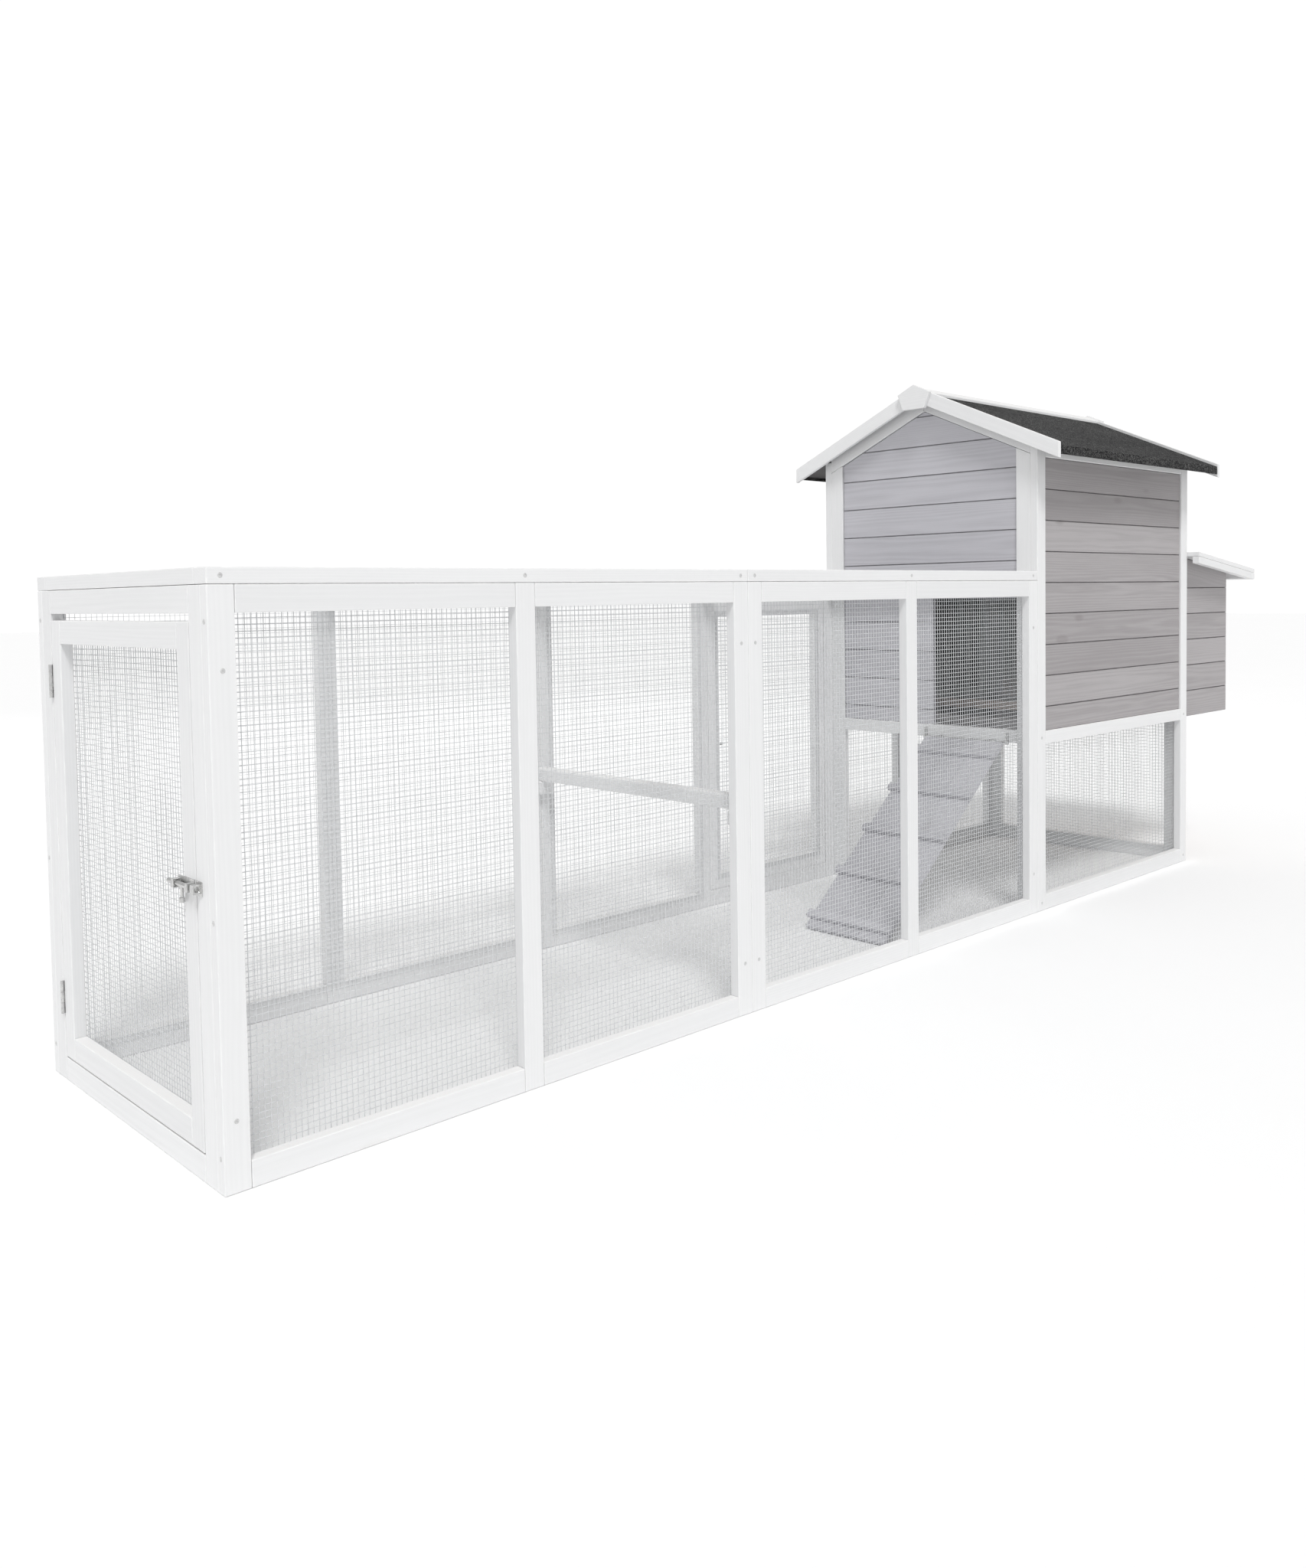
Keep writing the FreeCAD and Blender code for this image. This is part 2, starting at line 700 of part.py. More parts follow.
def build_house_walls():
    """Front and back walls of the house, from the ground to the eaves."""
    left = "house_x"
    right = "house_end - batten_wide"
    levels = (("0", "batten_wide"), ("floor_rail_z", "floor_rail"),
              ("eave_rail_z", "batten_wide"))
    front = stiles("front", (left, right), "0", "0", "wall_top")
    front += rails("front", f"{left} + batten_wide", right, "0", levels)
    node("house_front_frame", front)
    planks = plank_rows("front plank", f"{left} + batten_wide", right, "plank_recess",
                        "floor_top", "eave_rail_z", "front_first_plank", "plank_pitch")
    node("house_front_planks", planks)
    back = stiles("back", (left, "back_stile_x", right), "back_y", "0", "wall_top")
    back += rails("back", f"{left} + batten_wide", "back_stile_x", "back_y", levels)
    back += rails("back", "back_stile_x + batten_wide", right, "back_y", levels)
    node("house_back_frame", back)
    planks = plank_rows("back plank", f"{left} + batten_wide", "back_stile_x",
                        "run_width - plank_recess - plank_thick",
                        "floor_top", "eave_rail_z", "front_first_plank", "plank_pitch")
    node("house_back_planks", planks)


def gable_frame(label, x, with_sill):
    """Posts, cross rails and raked rails of one gable."""
    high = "wall_top - rake_height - joint_gap"
    pieces = []
    for flip in (False, True):
        post = [("batten_thick", "0"), ("end_post_y", "0"),
                ("end_post_y", f"{high} + end_post_y * roof_slope"),
                ("batten_thick", f"{high} + batten_thick * roof_slope")]
        rake = [("batten_thick", "wall_top - rake_height + batten_thick * roof_slope"),
                ("ridge_y - joint_gap / 2",
                 "wall_top - rake_height + (ridge_y - joint_gap / 2) * roof_slope"),
                ("ridge_y - joint_gap / 2",
                 "wall_top - joint_gap + (ridge_y - joint_gap / 2) * roof_slope"),
                ("batten_thick", "wall_top - joint_gap + batten_thick * roof_slope")]
        for part, outline in (("post", post), ("rake", rake)):
            if flip:
                outline = [(back_mirror(y), z) for y, z in outline]
            pieces.append(prism(f"{label} {part}", "YZ", outline, x, "batten_thick"))
    levels = [("floor_rail_z", "floor_rail")]
    if with_sill:
        levels.append(("0", "batten_wide"))
    for z, height in levels:
        at = (x, "end_post_y + joint_gap", z)
        size = ("batten_thick", "run_width - 2 * end_post_y - 2 * joint_gap", height)
        pieces.append(board(f"{label} rail", at, size))
    return node(label, pieces)


def gable_outline(label, x):
    """Outline that the gable planks are trimmed to."""
    inset = "joint_gap"
    points = [(f"end_post_y + {inset}", "floor_top"),
              (f"run_width - end_post_y - {inset}", "floor_top"),
              (f"run_width - end_post_y - {inset}", f"siding_shoulder - {inset}"),
              ("ridge_y", f"siding_peak - {inset}"),
              (f"end_post_y + {inset}", f"siding_shoulder - {inset}")]
    return prism(label, "YZ", points, x, "plank_thick")


def build_gables():
    """Both gables: the run side with the pop hole, the nest side with its opening."""
    gable_frame("run_gable_frame", "house_x", with_sill=False)
    gable_frame("nest_gable_frame", "house_end - batten_thick", with_sill=True)
    plank_x = "house_x + plank_recess"
    outline = gable_outline("run gable outline", plank_x)
    hole = board("pop hole", (f"{plank_x} - 1", "pop_y0 - 10", "floor_top - 1"),
                 ("plank_thick + 2", "pop_hole_wide + 10", "pop_hole_height + 1"))
    planks = gable_planks(plank_x, outline, hole, "pop_top", full_width=False)
    node("run_gable_planks", planks)
    plank_x = "house_end - plank_recess - plank_thick"
    outline = gable_outline("nest gable outline", plank_x)
    hole = board("nest way", (f"{plank_x} - 1", "batten_thick", "floor_top - 1"),
                 ("plank_thick + 2", "back_y - batten_thick", "nest_opening_top - floor_top + 1"))
    planks = gable_planks(plank_x, outline, hole, "nest_opening_top", full_width=True)
    node("nest_gable_planks", planks)


def gable_planks(x, outline, hole, hole_top, full_width):
    """Rows of planks across a gable, cut away at its hole and its rakes.

    Rows beside a hole of the full width are left out.
    """
    made = []
    wide = "run_width - 2 * end_post_y - 2 * joint_gap"
    hole_height = number(hole_top)
    levels = row_levels("floor_top", "siding_peak", "gable_first_plank", "plank_pitch")
    for z, height in levels:
        low = number_of(z)
        high = low + number_of(height)
        if full_width and high <= hole_height + 1:
            continue
        plank = board("gable plank", (x, "end_post_y + joint_gap", z),
                      ("plank_thick", wide, height))
        if low < hole_height:
            plank = cut("gable plank at the hole", plank, hole)
        if high > number("siding_shoulder"):
            plank = trim_to("gable plank under the rakes", plank, outline)
        made.append(plank)
    return made


def build_house_floor():
    """Joists, floor boards, roost and the mesh round the space underneath."""
    joists = []
    depth = "run_width - 2 * batten_thick - 1"
    for share in (0.25, 0.5, 0.75):
        x = f"house_x + {share} * (house_length - joist_wide)"
        joists.append(board("joist", (x, "batten_thick + 0.5", "floor_rail_z"),
                            ("joist_wide", depth, "floor_rail")))
    node("floor_joists", joists)
    boards = []
    count = 8
    wide = f"(house_length - 2 * batten_thick - 2 * joint_gap) / {count}"
    for index in range(count):
        x = f"house_x + batten_thick + joint_gap + {index} * {wide}"
        boards.append(board("floor board", (x, "batten_thick + 0.5", "floor_top"),
                            (f"{wide} - joint_gap", depth, "floor_thick")))
    node("floor_boards", boards)
    roost_y = "plank_recess + plank_thick + 0.4"
    bar = board("roost bar", ("house_x + roost_place", roost_y, "deck_z + roost_lift"),
                ("roost_wide", f"run_width - 2 * ({roost_y})", "roost_thick"))
    node("house_roost", [bar])
    low = "batten_wide - mesh_lap"
    high = "floor_rail_z - batten_wide + mesh_lap + 14"
    long = "house_end - batten_wide + mesh_lap - 1 - (house_x + batten_wide - mesh_lap + 1)"
    sheets = [
        board("front lower sheet", ("house_x + batten_wide - mesh_lap + 1", "batten_thick", low),
              (long, "mesh_thick", high)),
        board("back lower sheet",
              ("house_x + batten_wide - mesh_lap + 1", "back_y - mesh_thick", low),
              (long, "mesh_thick", high)),
        board("end lower sheet", ("house_end - batten_thick - mesh_thick",
                                  "end_post_y - mesh_lap", low),
              ("mesh_thick", "run_width - 2 * end_post_y + 2 * mesh_lap", high)),
    ]
    node("house_mesh", sheets)


def build_pop_door():
    """Door that slides along the gable behind the pop hole, in two runners."""
    door_z = "deck_z + runner_wall + slide_gap"
    top_z = "pop_top + pop_door_lap"
    door = board("pop door panel", ("pop_door_x", "pop_door_y", door_z),
                 ("pop_door_thick", "pop_door_wide", f"{top_z} + 4 - ({door_z})"))
    knob = cylinder("pop door knob", ("pop_door_x + pop_door_thick",
                                      "pop_door_y + pop_door_wide / 2", "pop_top - 120"),
                    "11", "20", "x")
    node("pop_door", [fuse("pop door", [door, knob])])
    runners = []
    y0 = "end_post_y + joint_gap"
    long = "run_width - 2 * end_post_y - 2 * joint_gap"
    back = "house_x + plank_recess + plank_thick"
    deep = f"pop_door_x + pop_door_thick + slide_gap + runner_wall - ({back})"
    slot = ("pop_door_thick + 2 * slide_gap", f"{long} + 2", "runner_height")
    slot_x = "pop_door_x - slide_gap"
    lower = board("lower runner blank", (back, y0, "deck_z"), (deep, long, "runner_height"))
    groove = board("lower groove", (slot_x, f"{y0} - 1", "deck_z + runner_wall"), slot)
    runners.append(cut("lower runner", lower, groove))
    upper = board("upper runner blank", (back, y0, top_z), (deep, long, "runner_height"))
    groove = board("upper groove", (slot_x, f"{y0} - 1", f"{top_z} - runner_wall"), slot)
    runners.append(cut("upper runner", upper, groove))
    node("pop_runners", runners)


# ------------------------------------------------------------------ roof

def roof_line(y, lift):
    """Height of a surface parallel to the roof, above its underside at the wall."""
    return f"wall_top + ({y}) * roof_slope + {lift}"


def slope_pair(label, start, depth, outline):
    """Make a board's outline on the front slope and its mirror on the back one."""
    mirrored = [(back_mirror(y), z) for y, z in outline]
    return [prism(f"{label} front", "YZ", outline, start, depth),
            prism(f"{label} back", "YZ", mirrored, start, depth)]


def build_roof():
    """Roof boards, felt, bargeboards and ridge."""
    peak = "ridge_y - joint_gap / 2"
    eave = "-eave_over"
    inner_x = "verge_x0 + barge_thick"
    inner_long = "house_length + 2 * verge_over - 2 * barge_thick"
    boards = [(eave, roof_line(eave, "0")), (peak, roof_line(peak, "0")),
              (peak, roof_line(peak, "roof_drop")), (eave, roof_line(eave, "roof_drop"))]
    node("roof_boards", slope_pair("roof boards", inner_x, inner_long, boards))
    lip = "-eave_over - felt_thick"
    on_boards = "roof_drop + 0.2"
    over_felt = "roof_drop + 0.2 + felt_drop"
    hem = f"{roof_line(eave, 'roof_drop')} - felt_fold"
    felt = [(lip, hem), (f"{eave} - 0.2", hem), (f"{eave} - 0.2", roof_line(eave, on_boards)),
            (peak, roof_line(peak, on_boards)), (peak, roof_line(peak, over_felt)),
            (lip, roof_line(lip, over_felt))]
    node("roof_felt", slope_pair("roof felt", f"{inner_x} + 0.3", f"{inner_long} - 0.6", felt))
    tip = "-eave_over - felt_thick - 2"
    high = "roof_drop + felt_drop + barge_stand"
    low = f"{high} - barge_height"
    barge = [(tip, roof_line(tip, low)), (peak, roof_line(peak, low)),
             (peak, roof_line(peak, high)), (tip, roof_line(tip, high))]
    barges = slope_pair("near barge", "verge_x0", "barge_thick - 0.2", barge)
    barges += slope_pair("far barge", "verge_x1 - barge_thick + 0.2", "barge_thick - 0.2", barge)
    node("bargeboards", barges)
    base = "roof_drop + felt_drop + 0.5"
    lid = f"{base} + ridge_thick"
    low_y = "ridge_y - ridge_board"
    ridge = [(low_y, roof_line(low_y, base)), (peak, roof_line(peak, base)),
             (peak, roof_line(peak, lid)), (low_y, roof_line(low_y, lid))]
    node("ridge_cap", slope_pair("ridge board", f"{inner_x} + 0.3", f"{inner_long} - 0.6", ridge))
    crown = roof_line("ridge_y", f"{lid} + 6")
    block = [("ridge_y - 36", f"{crown} - 70"), ("ridge_y + 36", f"{crown} - 70"),
             ("ridge_y + 54", f"{crown} - 25"), ("ridge_y", crown),
             ("ridge_y - 54", f"{crown} - 25")]
    node("ridge_blocks", [
        prism("near ridge block", "YZ", block, "verge_x0 - barge_thick - 0.2", "barge_thick"),
        prism("far ridge block", "YZ", block, "verge_x1 + 0.2", "barge_thick"),
    ])


# -------------------------------------------------------------- nest box

def lid_line(x, lift):
    """Height of a surface parallel to the nest lid, above the side walls' top."""
    return f"nest_wall_top - ({x} - house_end) * lid_slope + {lift}"


def build_nest_box():
    """Floor, planked walls and divider of the nest box."""
    long = "nest_depth"
    floor = board("nest floor", ("house_end", "nest_y0 + plank_thick", "nest_floor_z"),
                  ("nest_depth - plank_thick",
                   "nest_y1 - nest_y0 - 2 * plank_thick", "plank_thick"))
    node("nest_floor", [floor])
    walls = []
    outer_x = "nest_x1 - plank_thick"
    levels = row_levels("nest_floor_z", "nest_wall_top - nest_depth * lid_slope",
                        "nest_plank", "nest_plank")
    last_z = levels[-1][0]
    for y in ("nest_y0", "nest_y1 - plank_thick"):
        for z, height in levels[:-1]:
            walls.append(board("nest side plank", ("house_end", y, z),
                               (long, "plank_thick", height)))
        top = [("house_end", last_z), ("nest_x1", last_z),
               ("nest_x1", lid_line("nest_x1", "-joint_gap")),
               ("house_end", lid_line("house_end", "-joint_gap"))]
        walls.append(prism("nest top side plank", "XZ",
                           top, f"{y} + plank_thick", "plank_thick"))
    for z, height in levels[:-1]:
        walls.append(board("nest outer plank", (outer_x, "nest_y0 + plank_thick + joint_gap", z),
                           ("plank_thick",
                            "nest_y1 - nest_y0 - 2 * plank_thick - 2 * joint_gap", height)))
    walls.append(board("nest outer top plank",
                       (outer_x, "nest_y0 + plank_thick + joint_gap", last_z),
                       ("plank_thick", "nest_y1 - nest_y0 - 2 * plank_thick - 2 * joint_gap",
                        f"{lid_line('nest_x1', '-joint_gap')} - ({last_z})")))
    node("nest_walls", walls)
    split = board("nest divider", ("house_end + 4", "ridge_y - plank_thick / 2", "nest_deck"),
                  ("nest_depth - plank_thick - 4", "plank_thick", "260"))
    lip = board("nest lip", ("house_end - batten_thick + 10",
                             "end_post_y + joint_gap", "floor_top"),
                ("plank_thick", "run_width - 2 * end_post_y - 2 * joint_gap", "70"))
    node("nest_divider", [split, lip])


def build_nest_lid():
    """Sloping lid with a rim that hangs outside the nest walls."""
    rim_low = "lid_thick - lid_rim"
    x1_in = "lid_x1 - lid_rim_thick"

    def slab(label, x0, x1, low, high, start, wide):
        points = [(x0, lid_line(x0, low)), (x1, lid_line(x1, low)),
                  (x1, lid_line(x1, high)), (x0, lid_line(x0, high))]
        return prism(label, "XZ", points, start, wide)

    pieces = [
        slab("lid board", "lid_x0", "lid_x1", "0", "lid_thick", "lid_y1", "lid_y1 - lid_y0"),
        slab("lid front rim", "lid_x0", x1_in, rim_low, "0",
             "lid_y0 + lid_rim_thick", "lid_rim_thick"),
        slab("lid back rim", "lid_x0", x1_in, rim_low, "0", "lid_y1", "lid_rim_thick"),
        slab("lid outer rim", x1_in, "lid_x1", rim_low, "0", "lid_y1", "lid_y1 - lid_y0"),
    ]
    node("nest_lid", pieces)


# ------------------------------------------------------------------ ramp

def ramp_set(label, piece):
    """Tilt a ramp piece, made flat along -X from its rod, down to the ground."""
    group = doc.addObject("Part::Compound", "Tilt")
    group.Label = label
    group.Links = [piece]
    group.Placement = FreeCAD.Placement(
        FreeCAD.Vector(), FreeCAD.Rotation(FreeCAD.Vector(0, 1, 0), -1))
    group.setExpression("Placement.Rotation.Angle", bound("-ramp_angle"))
    place(group, ("ramp_x", "ramp_inset", "ramp_z"))
    return group


def build_ramp():
    """Boarded ramp with cleats, hung on a rod by two strap eyes."""
    long = "ramp_long - 8"
    planks = []
    for index in range(3):
        y = f"{index} * ramp_wide / 3"
        flat = local_board("ramp plank", ("-ramp_long", y, "-ramp_bed"),
                           (long, "ramp_wide / 3 - joint_gap", "ramp_thick"))
        planks.append(ramp_set("ramp plank", flat))
    node("ramp_board", planks)
    cleats = []
    count = 5
    for index in range(count):
        x = f"-ramp_long + 26 + {index} * (ramp_long - 100) / {count - 1}"
        flat = local_board("cleat", (x, "-cleat_over", "ramp_thick - ramp_bed"),
                           ("cleat_wide", "ramp_wide + 2 * cleat_over", "cleat_thick"))
        cleats.append(ramp_set("ramp cleat", flat))
    node("ramp_cleats", cleats)
    straps = []
    along_y = FreeCAD.Rotation(FreeCAD.Vector(1, 0, 0), -90)
    for y in ("ramp_wide / 6 - 8", "ramp_wide * 5 / 6 - 8"):
        solid = fuse("strap", [
            local_board("strap plate", ("-70", y, "-eye_radius"), ("70", "16", "2")),
            local_bar("strap eye", ("0", y, "0"), "eye_radius", "16", along_y),
        ])
        bore = local_bar("strap bore", ("0", f"{y} - 1", "0"), "rod_radius + pin_play",
                         "18", along_y)
        straps.append(ramp_set("ramp strap", cut("strap", solid, bore)))
    node("ramp_straps", straps)


def check_and_export():
    """Stop on any failed object or bad shape, then write one file a sub-part."""
    doc.recompute()
    for item in doc.Objects:
        if "Invalid" in item.State or "Error" in item.State:
            raise RuntimeError(f"{item.Label} failed: {item.State}")
    for label, item in nodes.items():
        if item.Shape.isNull() or not item.Shape.isValid():
            raise RuntimeError(f"{label} has no valid shape")
    os.makedirs("parts", exist_ok=True)
    for label, item in nodes.items():
        item.Shape.exportStep(f"parts/{label}.step")
    whole = Part.makeCompound([item.Shape for item in nodes.values()])
    print(f"{len(nodes)} sub-parts, box {whole.BoundBox}")


build_run()
build_end_door()
build_run_door()
build_house_door()
build_ironmongery()
build_house_walls()
build_gables()
build_house_floor()
build_pop_door()
build_roof()
build_nest_box()
build_nest_lid()
build_ramp()
check_and_export()
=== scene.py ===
"""Looks of a timber chicken coop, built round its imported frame.

X runs from the run's end door to the nest box, Y from the front to the back and
Z up, in metres, with the origin on the ground in the middle of the coop.
"""

import functools
import json
import logging
import math
import random
from collections.abc import Iterator
from dataclasses import dataclass, replace
from enum import Enum

import bmesh
import bpy
from mathutils import Matrix, Vector, noise

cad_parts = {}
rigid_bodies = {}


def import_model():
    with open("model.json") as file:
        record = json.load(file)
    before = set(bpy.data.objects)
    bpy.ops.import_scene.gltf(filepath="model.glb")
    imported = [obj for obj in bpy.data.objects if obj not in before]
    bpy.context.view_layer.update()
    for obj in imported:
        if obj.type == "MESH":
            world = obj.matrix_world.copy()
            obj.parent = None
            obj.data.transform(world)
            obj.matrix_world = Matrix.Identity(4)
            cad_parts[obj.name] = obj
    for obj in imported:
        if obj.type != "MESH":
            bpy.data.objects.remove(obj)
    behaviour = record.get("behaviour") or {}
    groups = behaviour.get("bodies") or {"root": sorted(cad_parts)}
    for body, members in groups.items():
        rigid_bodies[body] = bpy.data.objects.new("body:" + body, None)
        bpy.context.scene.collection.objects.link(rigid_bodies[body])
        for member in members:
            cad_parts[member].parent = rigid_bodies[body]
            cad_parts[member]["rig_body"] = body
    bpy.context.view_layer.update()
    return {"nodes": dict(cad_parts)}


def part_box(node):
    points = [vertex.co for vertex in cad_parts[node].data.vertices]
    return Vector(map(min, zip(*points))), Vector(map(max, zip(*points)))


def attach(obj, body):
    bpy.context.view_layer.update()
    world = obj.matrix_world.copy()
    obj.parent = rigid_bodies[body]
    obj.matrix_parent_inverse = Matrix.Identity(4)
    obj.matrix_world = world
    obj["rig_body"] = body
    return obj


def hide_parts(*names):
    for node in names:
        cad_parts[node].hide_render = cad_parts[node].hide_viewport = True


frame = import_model()
LOG = logging.getLogger("coop")
Colour = tuple[float, float, float]
Triple = tuple[float, float, float]
Socket = bpy.types.NodeSocket

# Corners closer than this are one corner, and faces that bend less are one face.
SAME_SPOT = 2e-5
FLAT = math.radians(0.4)
# Edges that turn more than this are rounded, and these stay crisp in smooth metal.
SHARP = math.radians(24)
CREASE = math.radians(32)
# Mesh corners within this height of each other are on one level.
LEVEL = 2e-4
# The thickest that a plank gets, which tells its thickness from its length.
PLANK_THICK = 0.02
# Fixes how the wires wave, so that they lie the same way each time.
WIRE_SEED = 11


class Slot(Enum):
    """Names of the coop's material slots; nothing in this script reads them."""

    WHITE = "white_paint"
    GREY = "grey_paint"
    BARE = "bare_timber"
    WIRE = "wire_mesh"
    STEEL = "zinc_steel"
    FELT = "roof_felt"


# ------------------------------------------------------------- finishes

class Tree:
    """Wires up the shader nodes of one material."""

    def __init__(self, name: str) -> None:
        """Start a material with its main shader and its output.

        Args:
            name: the material's name.
        """
        self.material = bpy.data.materials.new(name)
        self.material.use_nodes = True
        self.nodes = self.material.node_tree.nodes
        self.nodes.clear()
        self.shader = self.add("ShaderNodeBsdfPrincipled")
        end = self.add("ShaderNodeOutputMaterial")
        self.feed(self.shader.outputs["BSDF"], end.inputs["Surface"])

    def add(self, kind: str, **settings: object) -> bpy.types.Node:
        """Add one node.

        Args:
            kind: the node's type.
            **settings: its properties.

        Returns:
            The new node.
        """
        node = self.nodes.new(kind)
        for key, value in settings.items():
            setattr(node, key, value)
        return node

    def feed(self, value: Socket | float | Colour, socket: Socket) -> None:
        """Link a socket to another, or set its own value.

        Args:
            value: an output socket, a number or a colour.
            socket: the input that takes it.
        """
        if isinstance(value, bpy.types.NodeSocket):
            self.material.node_tree.links.new(value, socket)
        elif isinstance(value, tuple) and socket.type == "RGBA":
            socket.default_value = (*value, 1.0)
        else:
            socket.default_value = value

    def shade(self, name: str, value: Socket | float | Colour) -> None:
        """Set or link one input of the main shader."""
        self.feed(value, self.shader.inputs[name])

    def read(self, name: str, output: str = "Vector") -> Socket:
        """Read a value that the mesh carries.

        Args:
            name: the attribute's name.
            output: "Vector" for a place, "Fac" for a number.

        Returns:
            The socket that gives it.
        """
        return self.add("ShaderNodeAttribute", attribute_name=name).outputs[output]

    def stretch(self, vector: Socket, factors: Triple) -> Socket:
        """Scale a place along its three axes.

        Args:
            vector: the place.
            factors: the three scales.

        Returns:
            The scaled place.
        """
        node = self.add("ShaderNodeVectorMath", operation="MULTIPLY")
        self.feed(vector, node.inputs[0])
        node.inputs[1].default_value = factors
        return node.outputs["Vector"]

    def cloud(self, vector: Socket, factors: Triple, detail: float = 2.0) -> Socket:
        """Soft random pattern between 0 and 1.

        Args:
            vector: where it is read.
            factors: how many spots a metre along each axis.
            detail: how much finer detail it carries.

        Returns:
            The pattern's value.
        """
        node = self.add("ShaderNodeTexNoise")
        self.feed(self.stretch(vector, factors), node.inputs["Vector"])
        node.inputs["Scale"].default_value = 1.0
        node.inputs["Detail"].default_value = detail
        return node.outputs["Fac"]

    def cells(self, vector: Socket, factors: Triple) -> bpy.types.Node:
        """Random cells, for knots and granules.

        Args:
            vector: where they are read.
            factors: how many cells a metre along each axis.

        Returns:
            The node, with its Distance and Color outputs.
        """
        node = self.add("ShaderNodeTexVoronoi")
        self.feed(self.stretch(vector, factors), node.inputs["Vector"])
        node.inputs["Scale"].default_value = 1.0
        return node

    def sum_up(self, kind: str, first: Socket | float, second: Socket | float = 0.0,
               third: Socket | float = 0.0) -> Socket:
        """Do one sum on numbers.

        Args:
            kind: the operation, such as MULTIPLY_ADD.
            first: the first number.
            second: the second number.
            third: the third number, where the sum has one.

        Returns:
            The result.
        """
        node = self.add("ShaderNodeMath", operation=kind)
        for value, socket in zip((first, second, third), node.inputs):
            self.feed(value, socket)
        return node.outputs[0]

    def span(self, value: Socket, low: float, high: float, start: float = 0.0,
             end: float = 1.0) -> Socket:
        """Carry a range of values smoothly over to another range.

        Args:
            value: the number.
            low: where the first range starts.
            high: where it ends.
            start: what low becomes.
            end: what high becomes.

        Returns:
            The result, held between start and end.
        """
        node = self.add("ShaderNodeMapRange", interpolation_type="SMOOTHSTEP")
        for found, socket in zip((value, low, high, start, end), node.inputs):
            self.feed(found, socket)
        return node.outputs[0]

    def blend(self, share: Socket, low: Socket | Colour, high: Socket | Colour) -> Socket:
        """Mix two colours.

        Args:
            share: how much of the second one.
            low: the colour at 0.
            high: the colour at 1.

        Returns:
            The mixed colour.
        """
        node = self.add("ShaderNodeMix", data_type="RGBA")
        for value, socket in zip((share, low, high), (node.inputs[0], *node.inputs[6:8])):
            self.feed(value, socket)
        return node.outputs[2]

    def relief(self, height: Socket, strength: float, depth: float) -> None:
        """Raise a pattern on the surface.

        Args:
            height: the pattern, 0 to 1.
            strength: how strongly it shows.
            depth: its height in metres.
        """
        node = self.add("ShaderNodeBump")
        self.feed(height, node.inputs["Height"])
        node.inputs["Strength"].default_value = strength
        node.inputs["Distance"].default_value = depth
        self.shade("Normal", node.outputs["Normal"])


# Spots a metre of the wood's patterns: along the grain, then across it twice.
WARP_SPOTS = (1.4, 11.0, 11.0)
FIBRE_SPOTS = (7.0, 420.0, 420.0)
PATCH_SPOTS = (2.0, 6.0, 6.0)
KNOT_SPOTS = (3.1, 8.5, 8.5)
EDGE_WEAR_AND_SHADE_SPOTS = (30.0, 60.0, 60.0)
# How far the warp bends the year rings, in radians.
WARP_TURN = 24.0
# Where a knot ends and how many of the cells hold one.
KNOT_RIM = (0.07, 0.13)
KNOT_PICK = (0.45, 0.55)


